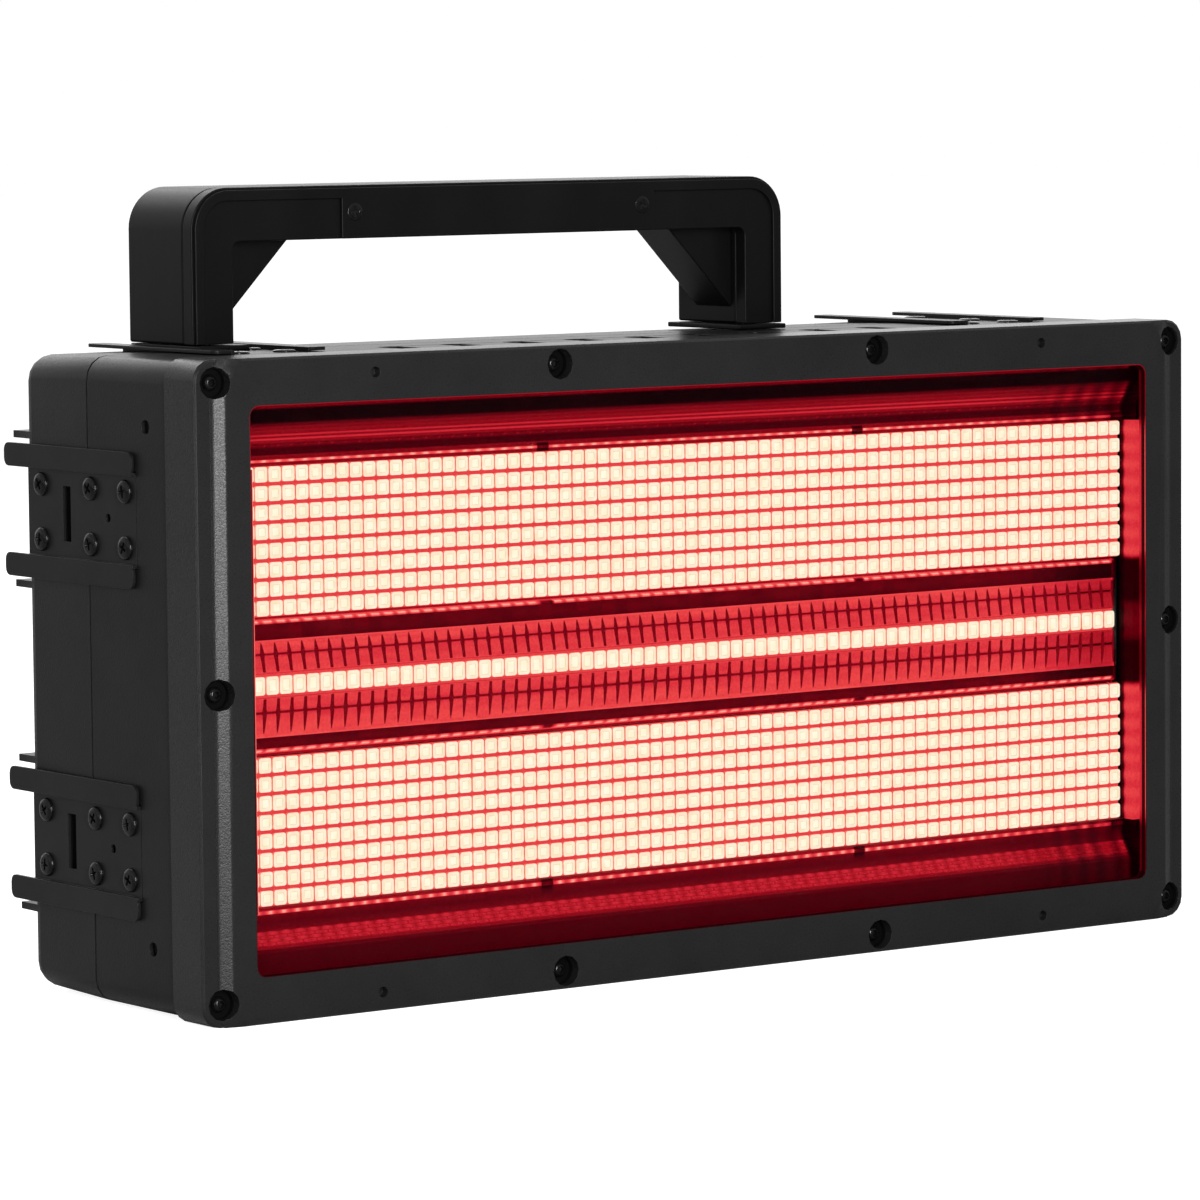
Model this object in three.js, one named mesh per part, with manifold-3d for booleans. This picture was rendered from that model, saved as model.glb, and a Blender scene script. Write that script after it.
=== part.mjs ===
// Strobe light: a wide LED strobe panel in a deep two-shell housing, with rigging brackets and a handle.
// Millimetres. +X is right seen from the front, +Y goes to the rear, +Z is up.
// The origin is on the surface that it stands on, under the middle of its bounding box.
import * as THREE from "three";
import { mergeVertices } from "three/addons/utils/BufferGeometryUtils.js";
import Module from "manifold-3d";

const wasm = await Module();
wasm.setup();

// Clearances and tolerances
const seatGap = 0.3;
const overrun = 1;
const mergeTolerance = 1e-4;

// LED field
const ledColumns = 72;
const ledRowsPerPanel = 8;
const rowPitch = 6.24;
const ledHeight = 5;
const ledRise = 1.2;
const boardThickness = 1.6;
const centerGap = 45.2;
const centerRowSetback = 3;
const centerBoardHeight = 40;

// Bezel
const windowWidth = 381.6;
const windowMargin = 20.3;
const windowCorner = 3.5;
const sideBar = 19.6;
const topBar = 15.4;
const bezelCorner = 7;
const bezelEdge = 0.8;
const facetRise = 2.3;
const facetWidth = 5;
const innerFlat = 8.7;
const plateauCorner = 13;
const faceToLeds = 14.3;
const bezelBehindLeds = 6.3;
const bezelPlate = 3.5;
const screwFromSides = 7.4;
const screwFromTop = 6.2;
const cornerScrewDrop = 1.4;
const screwBossRadius = 5.8;
const counterboreRadius = 5.2;
const counterboreDepth = 5.4;
const screwHeadRadius = 2.9;
const screwHeadHeight = 2;
const screwBrowShare = 0.86;
const screwShaftRadius = 1.5;
const screwSocketRadius = 1.3;
const screwSocketDepth = 1.2;
const screwGrip = 3.5;
const screwColumnOffset = 67.6;
const pinholeOffset = 141.8;
const pinholeRadius = 1.8;
const pinholeDepth = 3;

// Lens, seal and light frame
const gasketThickness = 0.9;
const gasketLip = 3;
const lensThickness = 3;
const shelfDepth = 1.5;
const shelfHeight = 5.2;
const slopeHeight = 8;
const frameBoardGap = 0.3;

// Centre reflector
const ledgeHeight = 5.2;
const ledgeSetback = 2;
const reflectorSink = 0.3;
const reflectorGroove = 0.6;
const reflectorMidShare = 0.5;
const reflectorLip = 1.4;

// Housing shells
const bezelProud = 0.9;
const housingCorner = 8;
const shellWall = 4;
const frontShellDepth = 49;
const rearShellDepth = 44.7;
const rearDraft = 1;
const rearRound = 8;
const shellJoint = 0.8;
const sealInset = 1.5;
const sealWidth = 2.5;
const sealSlack = 0.1;
const flangeThickness = 4;
const flangeWidth = 26;

// Vent openings and the grooves between them
const ventCount = 9;
const ventPitch = 25.6;
const ventWidth = 8.6;
const ventLength = 22;
const ventCorner = 2.8;
const ventFromFlange = 2;
const grooveWidth = 1;
const grooveDepth = 0.8;
const padBulge = 2.6;

// Side blind holes
const dowelRadius = 2.4;
const dowelDepth = 2.2;
const dowelHeight = 85.4;
const dowelFromBezel = 13;

// Rigging brackets
const bracketHeight = 44.8;
const bracketOffset = 54.6;
const bracketTopOffset = 156;
const bracketSheet = 1.2;
const lipRise = 1.6;
const lipHeight = 7.9;
const lipLength = 81;
const lipOverhang = 6.8;
const lipCorner = 2.6;
const plateLength = 68;
const slotLength = 18.4;
const slotWidth = 5;
const slotFromFront = 43.4;
const slotPocket = 2;
const pilotRadius = 1.5;
const pilotFromFront = 17.3;
const finLength = 4.6;
const finHeight = 2.4;
const finGap = 1.5;
const finThickness = 9;

// Handle
const handleWidth = 247.4;
const handleOverBracket = 14.7;
const handleDepth = 41;
const handleFromLeds = 50;
const handleRise = 52;
const handleCorner = 14;
const legWidth = 15;
const barHeight = 18;
const handleEdge = 1.5;
const faceBand = 5;
const faceBandInset = 0.8;
const gripWidth = 133.5;
const panelRim = 4.5;
const panelDepth = 1.2;
const gussetSetback = 9.5;
const gussetDepth = 20.5;
const gussetWidth = 28.6;
const gussetDrop = 31;
const ribWidth = 6;
const footHeight = 1.7;
const handleScrewFromGrip = 6.5;
const handleScrewRadius = 3;
const handleScrewHead = 1.4;
const handleScrewBore = 1.8;

// Heat sink and electronics
const sinkBase = 3.9;
const sinkInset = 3;
const finCount = 25;
const sinkFin = 1.6;
const sinkFinDepth = 25;
const sinkFinFromEnds = 30.2;
const sinkFinFromEdges = 19.2;
const supplyWidth = 170;
const supplyDepth = 32;
const supplyHeight = 80;
const driverWidth = 300;
const driverHeight = 60;
const driverDrop = 11;
const driverParts = 4;
const driverPartSize = 22;
const driverPartDepth = 12;

// Fans
const fanSize = 80;
const fanDepth = 20;
const fanBore = 37.5;
const fanOffset = 140;
const fanHeight = 128;
const hubRadius = 15;
const hubDepth = 9;
const motorDepth = 6;
const strutWidth = 4;
const strutCount = 3;
const bladeCount = 7;
const bladeThickness = 1.6;
const bladeChord = 17;
const bladePitch = 0.6;
const bladeTipGap = 2.5;
const guardWire = 1.8;
const guardRings = 3;
const guardSides = 16;
const guardSpokes = 4;
const guardTab = 9;

// Rear control panel
const panelWidth = 112;
const panelHeight = 62;
const panelThickness = 1.5;
const panelCorner = 4;
const panelBottom = 122;
const panelLip = 4;
const displayWidth = 54;
const displayHeight = 26;
const panelTopShare = 0.336;
const buttonRadius = 4.6;
const buttonRise = 1.3;
const buttonFlange = 1.2;
const buttonPitch = 22;
const panelLowShare = 0.351;
const buttonFlangeThickness = 1.2;
const buttonTravel = 1;
const switchHeight = 5.8;
const standoffRadius = 3;

// Rear connectors
const socketFlangeWidth = 26;
const socketFlangeHeight = 31;
const socketFlangeThickness = 2;
const socketCorner = 3;
const socketRadius = 11.6;
const socketBore = 9;
const socketBoreDepth = 13;
const socketDepth = 22;
const socketPitch = 46;
const socketHeight = 52;
const coreRadius = 3;
const latchWidth = 8;
const latchHeight = 4.4;
const latchRise = 0.9;
const latchTravel = 0.8;

// Rubber feet
const footRadius = 9;
const footThickness = 2.4;
const footPocket = 1.8;
const footOffset = 150;
const footFromEnds = 16;

// Roundness: sides of small and large rounds, and steps of a corner
const hexSides = 6;
const smallSides = 12;
const largeSides = 20;
const cornerSteps = 4;

// Derived sizes and stations
const columnPitch = windowWidth / ledColumns;
const handleCenter = handleWidth / 2 - handleOverBracket - bracketTopOffset;
const panelSpare = panelHeight - displayHeight - 2 * buttonRadius;
const panelSpan = ledRowsPerPanel * rowPitch;
const fieldHalf = centerGap / 2 + panelSpan;
const windowHeight = 2 * (fieldHalf + windowMargin);
const bezelWidth = windowWidth + 2 * sideBar;
const bezelHeight = windowHeight + 2 * topBar;
const middleZ = bezelHeight / 2;
const housingWidth = bezelWidth - 2 * bezelProud;
const housingHeight = bezelHeight - 2 * bezelProud;
const overallDepth = faceToLeds + bezelBehindLeds + frontShellDepth + rearShellDepth + lipOverhang;
const frontY = -overallDepth / 2;
const ledY = frontY + faceToLeds;
const frontShellY = ledY + bezelBehindLeds;
const jointY = frontShellY + frontShellDepth;
const rearY = jointY + rearShellDepth;
const cavityWidth = bezelWidth - 2 * (screwFromSides + screwBossRadius);
const cavityHeight = bezelHeight - 2 * (screwFromTop + screwBossRadius);
const gasketY = frontY + bezelPlate;
const lensY = gasketY + gasketThickness + seatGap;
const frameY = lensY + lensThickness + seatGap;
const flangeY = frontShellY + sinkBase + seatGap;
const ventY = flangeY + flangeThickness + ventFromFlange;
const housingTop = middleZ + housingHeight / 2;
const housingBottom = middleZ - housingHeight / 2;
const housingSide = housingWidth / 2;
const bracketFrontY = rearY + lipOverhang - lipLength;
const handleFrontY = ledY + handleFromLeds;
const legFloorZ = housingTop + seatGap + footHeight + seatGap;
const faceDepth = handleEdge + faceBand;

// Materials
function finish(color, roughness, metalness) {
  return new THREE.MeshStandardMaterial({ color, roughness, metalness });
}
const housingPaint = finish(0x2b2c2d, 0.5, 0.1);
const bezelPaint = finish(0x2a2b2c, 0.45, 0.1);
const bracketPaint = finish(0x303132, 0.55, 0.3);
const handlePlastic = finish(0x1c1c1d, 0.45, 0);
const screwBlack = finish(0x101011, 0.3, 0.9);
const lensClear = finish(0xf2f4f5, 0.05, 0);
const sealRubber = finish(0x0c0c0c, 0.8, 0);
const frameBlack = finish(0x120506, 0.2, 0);
const reflectorRed = finish(0xd2303a, 0.25, 0.6);
const boardWhite = finish(0xf0e6d2, 0.5, 0);
const boardRed = finish(0xb03a35, 0.5, 0);
const bareAluminium = finish(0xa9abae, 0.4, 0.9);
const supplySteel = finish(0x9da0a3, 0.45, 0.8);
const circuitGreen = finish(0x1d4a2c, 0.6, 0);
const fanPlastic = finish(0x141414, 0.5, 0);
const guardSteel = finish(0x1b1b1c, 0.4, 0.7);
const displayGlass = finish(0x0a1420, 0.1, 0);
const buttonGrey = finish(0x3a3b3d, 0.6, 0);
const powerBlue = finish(0x1c4f9c, 0.4, 0);
const powerGrey = finish(0x8f9396, 0.4, 0);
const dataNickel = finish(0x77797c, 0.35, 0.9);
const footRubber = finish(0x0f0f0f, 0.9, 0);

const strobe = new THREE.Group();

// Solids
function solid(geometry) {
  const bare = new THREE.BufferGeometry();
  bare.setAttribute("position", geometry.attributes.position);
  if (geometry.index) bare.setIndex(geometry.index);
  const merged = mergeVertices(bare, mergeTolerance);
  const vertProperties = merged.attributes.position.array;
  const triVerts = new Uint32Array(merged.index.array);
  return new wasm.Manifold(new wasm.Mesh({ numProp: 3, vertProperties, triVerts }));
}

function join(parts) {
  return parts.reduce((whole, part) => whole.add(part));
}

function carve(body, cutters) {
  return cutters.reduce((rest, cutter) => rest.subtract(cutter), body);
}

function addPiece(name, body, material) {
  const data = body.getMesh();
  const geometry = new THREE.BufferGeometry();
  geometry.setAttribute("position", new THREE.BufferAttribute(data.vertProperties, 3));
  geometry.setIndex(new THREE.BufferAttribute(data.triVerts, 1));
  geometry.computeVertexNormals();
  const mesh = new THREE.Mesh(geometry, material);
  mesh.name = name;
  strobe.add(mesh);
  return mesh;
}

// A box between two stations along each axis
function block([x0, x1], [y0, y1], [z0, z1]) {
  const box = new THREE.BoxGeometry(x1 - x0, y1 - y0, z1 - z0);
  box.translate((x0 + x1) / 2, (y0 + y1) / 2, (z0 + z1) / 2);
  return solid(box);
}

// A round bar along Y, its middle at x and z
function roundAlongY(radius, [y0, y1], x, z, sides = smallSides) {
  const bar = new THREE.CylinderGeometry(radius, radius, y1 - y0, sides);
  bar.translate(x, (y0 + y1) / 2, z);
  return solid(bar);
}

function roundAlongZ(radius, [z0, z1], x, y, sides = smallSides) {
  const bar = new THREE.CylinderGeometry(radius, radius, z1 - z0, sides);
  bar.rotateX(Math.PI / 2);
  bar.translate(x, y, (z0 + z1) / 2);
  return solid(bar);
}

function roundAlongX(radius, [x0, x1], y, z, sides = smallSides) {
  const bar = new THREE.CylinderGeometry(radius, radius, x1 - x0, sides);
  bar.rotateZ(Math.PI / 2);
  bar.translate((x0 + x1) / 2, y, z);
  return solid(bar);
}

// A front-view shape, in x and z, as a plate between two stations along Y
function plateAlongY(shape, [y0, y1]) {
  const options = { depth: y1 - y0, bevelEnabled: false, curveSegments: cornerSteps / 2 };
  const plate = new THREE.ExtrudeGeometry(shape, options);
  plate.rotateX(Math.PI / 2);
  plate.translate(0, y1, 0);
  return solid(plate);
}

// A side-view shape, in y and z, as a plate between two stations along X
function plateAlongX(shape, [x0, x1]) {
  const options = { depth: x1 - x0, bevelEnabled: false, curveSegments: cornerSteps / 2 };
  const plate = new THREE.ExtrudeGeometry(shape, options);
  const yAxis = new THREE.Vector3(0, 1, 0);
  const zAxis = new THREE.Vector3(0, 0, 1);
  const xAxis = new THREE.Vector3(1, 0, 0);
  plate.applyMatrix4(new THREE.Matrix4().makeBasis(yAxis, zAxis, xAxis));
  plate.translate(x0, 0, 0);
  return solid(plate);
}

// A top-view shape, in x and y, as a plate between two stations along Z
function plateAlongZ(shape, [z0, z1]) {
  const options = { depth: z1 - z0, bevelEnabled: false, curveSegments: cornerSteps / 2 };
  const plate = new THREE.ExtrudeGeometry(shape, options);
  plate.translate(0, 0, z0);
  return solid(plate);
}

function polygon(points) {
  return new THREE.Shape(points.map(([a, b]) => new THREE.Vector2(a, b)));
}

function roundedRectangle(width, height, radius, x = 0, z = 0) {
  const left = x - width / 2;
  const right = x + width / 2;
  const low = z - height / 2;
  const high = z + height / 2;
  const quarter = Math.PI / 2;
  const shape = new THREE.Shape();
  shape.absarc(right - radius, low + radius, radius, -quarter, 0);
  shape.absarc(right - radius, high - radius, radius, 0, quarter);
  shape.absarc(left + radius, high - radius, radius, quarter, 2 * quarter);
  shape.absarc(left + radius, low + radius, radius, 2 * quarter, 3 * quarter);
  shape.closePath();
  return shape;
}

// The points of a rounded rectangle round the middle of the front view, at one station along Y
function ringAt(width, height, radius, y) {
  const points = [];
  const corners = [[1, -1], [1, 1], [-1, 1], [-1, -1]];
  corners.forEach(([sx, sz], corner) => {
    const x = sx * (width / 2 - radius);
    const z = middleZ + sz * (height / 2 - radius);
    for (let step = 0; step <= cornerSteps; step += 1) {
      const angle = ((corner - 1 + step / cornerSteps) * Math.PI) / 2;
      points.push([x + radius * Math.cos(angle), y, z + radius * Math.sin(angle)]);
    }
  });
  return points;
}

// A solid through rings of as many points each, with flat ends
function loft(rings) {
  const count = rings[0].length;
  const positions = rings.flat(2);
  const index = [];
  for (let ring = 0; ring + 1 < rings.length; ring += 1) {
    for (let step = 0; step < count; step += 1) {
      const a = ring * count + step;
      const b = ring * count + ((step + 1) % count);
      index.push(a, b, b + count, a, b + count, a + count);
    }
  }
  const last = (rings.length - 1) * count;
  for (let step = 1; step + 1 < count; step += 1) {
    index.push(0, step + 1, step);
    index.push(last, last + step, last + step + 1);
  }
  const forwards = rings[rings.length - 1][0][1] > rings[0][0][1];
  const geometry = new THREE.BufferGeometry();
  geometry.setAttribute("position", new THREE.BufferAttribute(new Float32Array(positions), 3));
  geometry.setIndex(forwards ? index.reverse() : index);
  return solid(geometry);
}

function frameRing([outerWidth, outerHeight, outerCorner], [innerWidth, innerHeight, innerCorner], span) {
  const outer = plateAlongY(roundedRectangle(outerWidth, outerHeight, outerCorner, 0, middleZ), span);
  const cut = [span[0] - overrun, span[1] + overrun];
  const inner = plateAlongY(roundedRectangle(innerWidth, innerHeight, innerCorner, 0, middleZ), cut);
  return outer.subtract(inner);
}

// The bezel's ten screw places, from its left lower corner
const screwX = bezelWidth / 2 - screwFromSides;
const screwZ = bezelHeight / 2 - screwFromTop;
const cornerZ = screwZ - cornerScrewDrop;
const screwPlaces = [
  [-screwX, -cornerZ],
  [-screwColumnOffset, -screwZ],
  [screwColumnOffset, -screwZ],
  [screwX, -cornerZ],
  [screwX, 0],
  [screwX, cornerZ],
  [screwColumnOffset, screwZ],
  [-screwColumnOffset, screwZ],
  [-screwX, cornerZ],
  [-screwX, 0],
];

// The raised field of the bezel, at a distance outside its edge
function plateauRing(spread, y) {
  const halfWidth = windowWidth / 2 + innerFlat + spread;
  const halfHeight = bezelHeight / 2 + overrun + spread;
  const cut = plateauCorner;
  const points = [];
  const corners = [[1, -1], [1, 1], [-1, 1], [-1, -1]];
  corners.forEach(([sx, sz], corner) => {
    const arc = [];
    for (let step = 0; step <= cornerSteps; step += 1) {
      const angle = (step / cornerSteps) * (Math.PI / 2);
      const x = sx * (halfWidth - cut * (1 - Math.cos(angle)));
      const z = middleZ + sz * (halfHeight - cut * (1 - Math.sin(angle)));
      arc.push([x, y, z]);
    }
    points.push(...(corner % 2 ? arc : arc.reverse()));
  });
  return points;
}

function makeBezel() {
  const lowY = frontY + facetRise;
  const outline = [bezelWidth, bezelHeight, bezelCorner];
  const edge = [bezelWidth - 2 * bezelEdge, bezelHeight - 2 * bezelEdge, bezelCorner - bezelEdge];
  const body = loft([
    ringAt(...outline, frontShellY - seatGap),
    ringAt(...outline, lowY + bezelEdge),
    ringAt(...edge, lowY),
  ]);
  const raised = loft([
    plateauRing(facetWidth, lowY),
    plateauRing(0, frontY),
  ]);
  const under = loft([plateauRing(facetWidth, lowY + bezelEdge), plateauRing(facetWidth, lowY - seatGap)]);
  const edgeLimit = loft([
    ringAt(...outline, frontY + facetRise + overrun),
    ringAt(...outline, frontY + bezelEdge),
    ringAt(...edge, frontY),
    ringAt(...edge, frontY - overrun),
  ]);
  const field = raised.add(under).intersect(edgeLimit);
  const window = plateAlongY(
    roundedRectangle(windowWidth, windowHeight, windowCorner, 0, middleZ),
    [frontY - overrun, frontShellY],
  );
  const cavity = plateAlongY(
    roundedRectangle(cavityWidth, cavityHeight, windowCorner, 0, middleZ),
    [gasketY, frontShellY],
  );
  const cutters = [window, cavity];
  screwPlaces.forEach(([x, z]) => {
    const seat = frontY + counterboreDepth;
    cutters.push(roundAlongY(counterboreRadius, [frontY - overrun, seat], x, middleZ + z, smallSides));
    const bore = screwShaftRadius + seatGap;
    cutters.push(roundAlongY(bore, [seat - overrun, frontShellY], x, middleZ + z, hexSides));
  });
  for (const x of [-pinholeOffset, pinholeOffset]) {
    for (const z of [middleZ - screwZ, middleZ + screwZ]) {
      cutters.push(roundAlongY(pinholeRadius, [frontY - overrun, frontY + pinholeDepth], x, z));
    }
  }
  addPiece("front_bezel", carve(body.add(field), cutters), bezelPaint);
}

// A button-head screw along Y with a hexagon socket
function makeBezelScrews() {
  const seat = frontY + counterboreDepth - seatGap;
  const crown = seat - screwHeadHeight;
  const tip = frontShellY + screwGrip;
  screwPlaces.forEach(([x, z], place) => {
    const profile = [
      [0, tip],
      [screwShaftRadius, tip],
      [screwShaftRadius, seat],
      [screwHeadRadius, seat],
      [screwHeadRadius * screwBrowShare, (seat + crown) / 2],
      [screwHeadRadius / 2, crown],
      [0, crown],
    ].map(([radius, y]) => new THREE.Vector2(radius, y));
    const turned = new THREE.LatheGeometry(profile.reverse(), smallSides - 2);
    turned.translate(x, 0, middleZ + z);
    const deep = [crown - overrun, crown + screwSocketDepth];
    const socket = roundAlongY(screwSocketRadius, deep, x, middleZ + z, hexSides);
    addPiece(`bezel_screw_${place + 1}`, solid(turned).subtract(socket), screwBlack);
  });
}

function makeLensStack() {
  const gasketWidth = cavityWidth - 2 * seatGap;
  const gasketHeight = cavityHeight - 2 * seatGap;
  const outer = [gasketWidth, gasketHeight, windowCorner];
  const lip = [gasketWidth - 2 * gasketLip, gasketHeight - 2 * gasketLip, windowCorner];
  const seal = [gasketY + seatGap, gasketY + gasketThickness];
  addPiece("lens_gasket", frameRing(outer, lip, seal), sealRubber);
  const pane = roundedRectangle(gasketWidth, gasketHeight, windowCorner, 0, middleZ);
  addPiece("lens", plateAlongY(pane, [lensY, lensY + lensThickness]), lensClear);
}

// The black frame round the LED field: a low shelf, then a slope up to the lens
function makeInnerFrame() {
  const width = cavityWidth - 2 * seatGap;
  const height = cavityHeight - 2 * seatGap;
  const outline = roundedRectangle(width, height, windowCorner, 0, middleZ);
  const body = plateAlongY(outline, [frameY, ledY + ledRise - frameBoardGap]);
  const halfWidth = windowWidth / 2 + seatGap;
  const fieldOpening = fieldHalf + seatGap;
  const shelfEnd = fieldOpening + shelfHeight;
  const rim = (half, y) => [
    [halfWidth, y, middleZ - half],
    [halfWidth, y, middleZ + half],
    [-halfWidth, y, middleZ + half],
    [-halfWidth, y, middleZ - half],
  ];
  const straight = loft([rim(fieldOpening, ledY + ledRise + overrun), rim(fieldOpening, frameY - overrun)]);
  const slope = loft([
    rim(shelfEnd, ledY - shelfDepth),
    rim(shelfEnd + slopeHeight, frameY),
    rim(shelfEnd + slopeHeight, frameY - overrun),
  ]);
  addPiece("inner_frame", carve(body, [straight, slope]), frameBlack);
}

// An LED board: a thin board with one raised strip for each row of LEDs
function makeLedBoard(name, lowZ, rows, height, faceY, material) {
  const boardY = faceY + ledRise;
  const halfWidth = windowWidth / 2 - seatGap;
  const upright = [lowZ + seatGap, lowZ + height - seatGap];
  const board = block([-halfWidth, halfWidth], [boardY, boardY + boardThickness], upright);
  const middle = lowZ + height / 2;
  const strips = [];
  for (let row = 0; row < rows; row += 1) {
    const z = middle + (row - (rows - 1) / 2) * rowPitch;
    const reach = halfWidth - (columnPitch - ledHeight) / 2;
    strips.push(block([-reach, reach], [faceY, boardY + seatGap], [z - ledHeight / 2, z + ledHeight / 2]));
  }
  addPiece(name, join([board, ...strips]), material);
}

function makeLedBoards() {
  makeLedBoard("led_board_top", middleZ + centerGap / 2, ledRowsPerPanel, panelSpan, ledY, boardWhite);
  makeLedBoard("led_board_bottom", middleZ - fieldHalf, ledRowsPerPanel, panelSpan, ledY, boardRed);
  const low = middleZ - centerBoardHeight / 2;
  makeLedBoard("led_board_center", low, 1, centerBoardHeight, ledY + centerRowSetback, boardWhite);
}

// One half of the centre trough: a ledge beside the LED panel, then two facets down to the centre row
function makeReflectors() {
  const halfWidth = windowWidth / 2 - seatGap;
  const backY = ledY + centerRowSetback + ledRise - seatGap;
  const floorY = ledY + centerRowSetback + reflectorSink;
  const outerZ = centerGap / 2 - 2 * seatGap;
  const ledgeZ = outerZ - ledgeHeight;
  const innerZ = ledHeight / 2 + reflectorLip;
  const midZ = ledgeZ + (innerZ - ledgeZ) * reflectorMidShare;
  const ledgeY = ledY + ledgeSetback;
  const midY = ledgeY + (floorY - ledgeY) * reflectorMidShare;
  const outline = [
    [backY, innerZ],
    [backY, outerZ],
    [ledgeY, outerZ],
    [ledgeY, ledgeZ],
    [midY, midZ + reflectorGroove / 2],
    [midY + reflectorGroove, midZ],
    [midY, midZ - reflectorGroove / 2],
    [floorY, innerZ],
  ];
  for (const [name, side] of [["reflector_top", 1], ["reflector_bottom", -1]]) {
    const points = outline.map(([y, z]) => [y, middleZ + side * z]);
    addPiece(name, plateAlongX(polygon(points), [-halfWidth, halfWidth]), reflectorRed);
  }
}

function makeHeatSink() {
  const baseY = ledY + centerRowSetback + ledRise + boardThickness + seatGap;
  const padY = ledY + ledRise + boardThickness + seatGap;
  const halfWidth = cavityWidth / 2 - sinkInset;
  const halfHeight = cavityHeight / 2 - sinkInset;
  const baseEnd = flangeY - seatGap;
  const upright = [middleZ - halfHeight, middleZ + halfHeight];
  const parts = [block([-halfWidth, halfWidth], [baseY, baseEnd], upright)];
  const padHalf = windowWidth / 2 - 2 * sinkInset;
  for (const side of [-1, 1]) {
    const near = middleZ + side * (centerGap / 2 + sinkInset);
    const far = middleZ + side * (fieldHalf - sinkInset);
    const span = [Math.min(near, far), Math.max(near, far)];
    parts.push(block([-padHalf, padHalf], [padY, baseY + overrun], span));
  }
  for (let fin = 0; fin < finCount; fin += 1) {
    const x = (fin / (finCount - 1) - 1 / 2) * 2 * (halfWidth - sinkFinFromEnds);
    const span = [upright[0] + sinkFinFromEdges, upright[1] - sinkFinFromEdges];
    parts.push(block([x - sinkFin / 2, x + sinkFin / 2], [baseEnd - overrun, baseEnd + sinkFinDepth], span));
  }
  addPiece("heat_sink", join(parts), bareAluminium);
  return baseEnd + sinkFinDepth;
}

// Where the six brackets sit: outward direction and the middle of each across that direction
const bracketSeats = [
  { name: "bracket_left_lower", turn: Math.PI, x: -housingSide, z: middleZ - bracketOffset },
  { name: "bracket_left_upper", turn: Math.PI, x: -housingSide, z: middleZ + bracketOffset },
  { name: "bracket_right_lower", turn: 0, x: housingSide, z: middleZ - bracketOffset },
  { name: "bracket_right_upper", turn: 0, x: housingSide, z: middleZ + bracketOffset },
  { name: "bracket_top_left", turn: -Math.PI / 2, x: -bracketTopOffset, z: housingTop },
  { name: "bracket_top_right", turn: -Math.PI / 2, x: bracketTopOffset, z: housingTop },
];

// A bracket lies in its own frame with +X outwards, its plate's face at zero and its middle at zero height
function bracketSolid() {
  const half = bracketHeight / 2;
  const channel = half - lipHeight;
  const face = lipRise - bracketSheet;
  const profile = [
    [face, half],
    [face, channel + bracketSheet],
    [-bracketSheet, channel + bracketSheet],
    [-bracketSheet, -channel - bracketSheet],
    [face, -channel - bracketSheet],
    [face, -half],
    [lipRise, -half],
    [lipRise, -channel],
    [0, -channel],
    [0, channel],
    [lipRise, channel],
    [lipRise, half],
  ];
  const pressed = plateAlongY(polygon(profile), [bracketFrontY, bracketFrontY + lipLength]);
  const plateEnd = bracketFrontY + plateLength;
  const past = [plateEnd, bracketFrontY + lipLength + overrun];
  const web = channel + bracketSheet;
  const open = block([-overrun - bracketSheet, face], past, [-web - overrun, web + overrun]);
  const clear = block([-overrun, overrun + lipRise], past, [-channel, channel]);
  const slotY = bracketFrontY + slotFromFront;
  const cut = [-overrun - bracketSheet, overrun];
  const slot = block(cut, [slotY - slotWidth / 2, slotY + slotWidth / 2], [-slotLength / 2, slotLength / 2]);
  const pilot = roundAlongX(pilotRadius, cut, bracketFrontY + pilotFromFront, 0);
  const middle = bracketFrontY + lipLength / 2;
  const limit = [1, -1].map((side) => {
    const lip = roundedRectangle(lipLength, lipHeight, lipCorner, middle, side * (half - lipHeight / 2));
    return plateAlongX(lip, [-overrun - bracketSheet, overrun + lipRise]);
  });
  limit.push(block([-overrun - bracketSheet, overrun + lipRise], [bracketFrontY, plateEnd], [-web, web]));
  return carve(pressed, [open, clear, slot, pilot]).intersect(join(limit));
}

function makeBrackets() {
  const shape = bracketSolid();
  for (const seat of bracketSeats) {
    const mesh = addPiece(seat.name, shape, bracketPaint);
    mesh.rotation.y = seat.turn;
    mesh.position.set(seat.x, 0, seat.z);
  }
}

// A box in a bracket's own frame, turned to where the bracket sits
function seatBlock(seat, [out0, out1], span, [low, high]) {
  const box = new THREE.BoxGeometry(out1 - out0, span[1] - span[0], high - low);
  box.translate((out0 + out1) / 2, (span[0] + span[1]) / 2, (low + high) / 2);
  box.rotateY(seat.turn);
  box.translate(seat.x, 0, seat.z);
  return solid(box);
}

// The pockets that let each bracket's plate into the shells, and the deeper place behind its slot
function bracketPockets() {
  const reach = bracketHeight / 2 - lipHeight + bracketSheet + seatGap;
  const slotY = bracketFrontY + slotFromFront;
  const span = [bracketFrontY - seatGap, bracketFrontY + plateLength + seatGap];
  const slotSpan = [slotY - slotWidth / 2 - seatGap, slotY + slotWidth / 2 + seatGap];
  const slotReach = slotLength / 2 + seatGap;
  const floor = -bracketSheet - seatGap;
  return bracketSeats.flatMap((seat) => [
    seatBlock(seat, [floor, overrun], span, [-reach, reach]),
    seatBlock(seat, [floor - slotPocket, overrun], slotSpan, [-slotReach, slotReach]),
  ]);
}

// The thick rim that takes the bezel's screws, and the flange behind the heat sink
function shellRim() {
  const outer = [housingWidth - shellWall, housingHeight - shellWall, housingCorner];
  const rim = [cavityWidth, cavityHeight, windowCorner];
  const flange = [housingWidth - 2 * flangeWidth, housingHeight - 2 * flangeWidth, windowCorner];
  return [
    frameRing(outer, rim, [frontShellY, flangeY + seatGap]),
    frameRing(outer, flange, [flangeY, flangeY + flangeThickness]),
  ];
}

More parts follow.
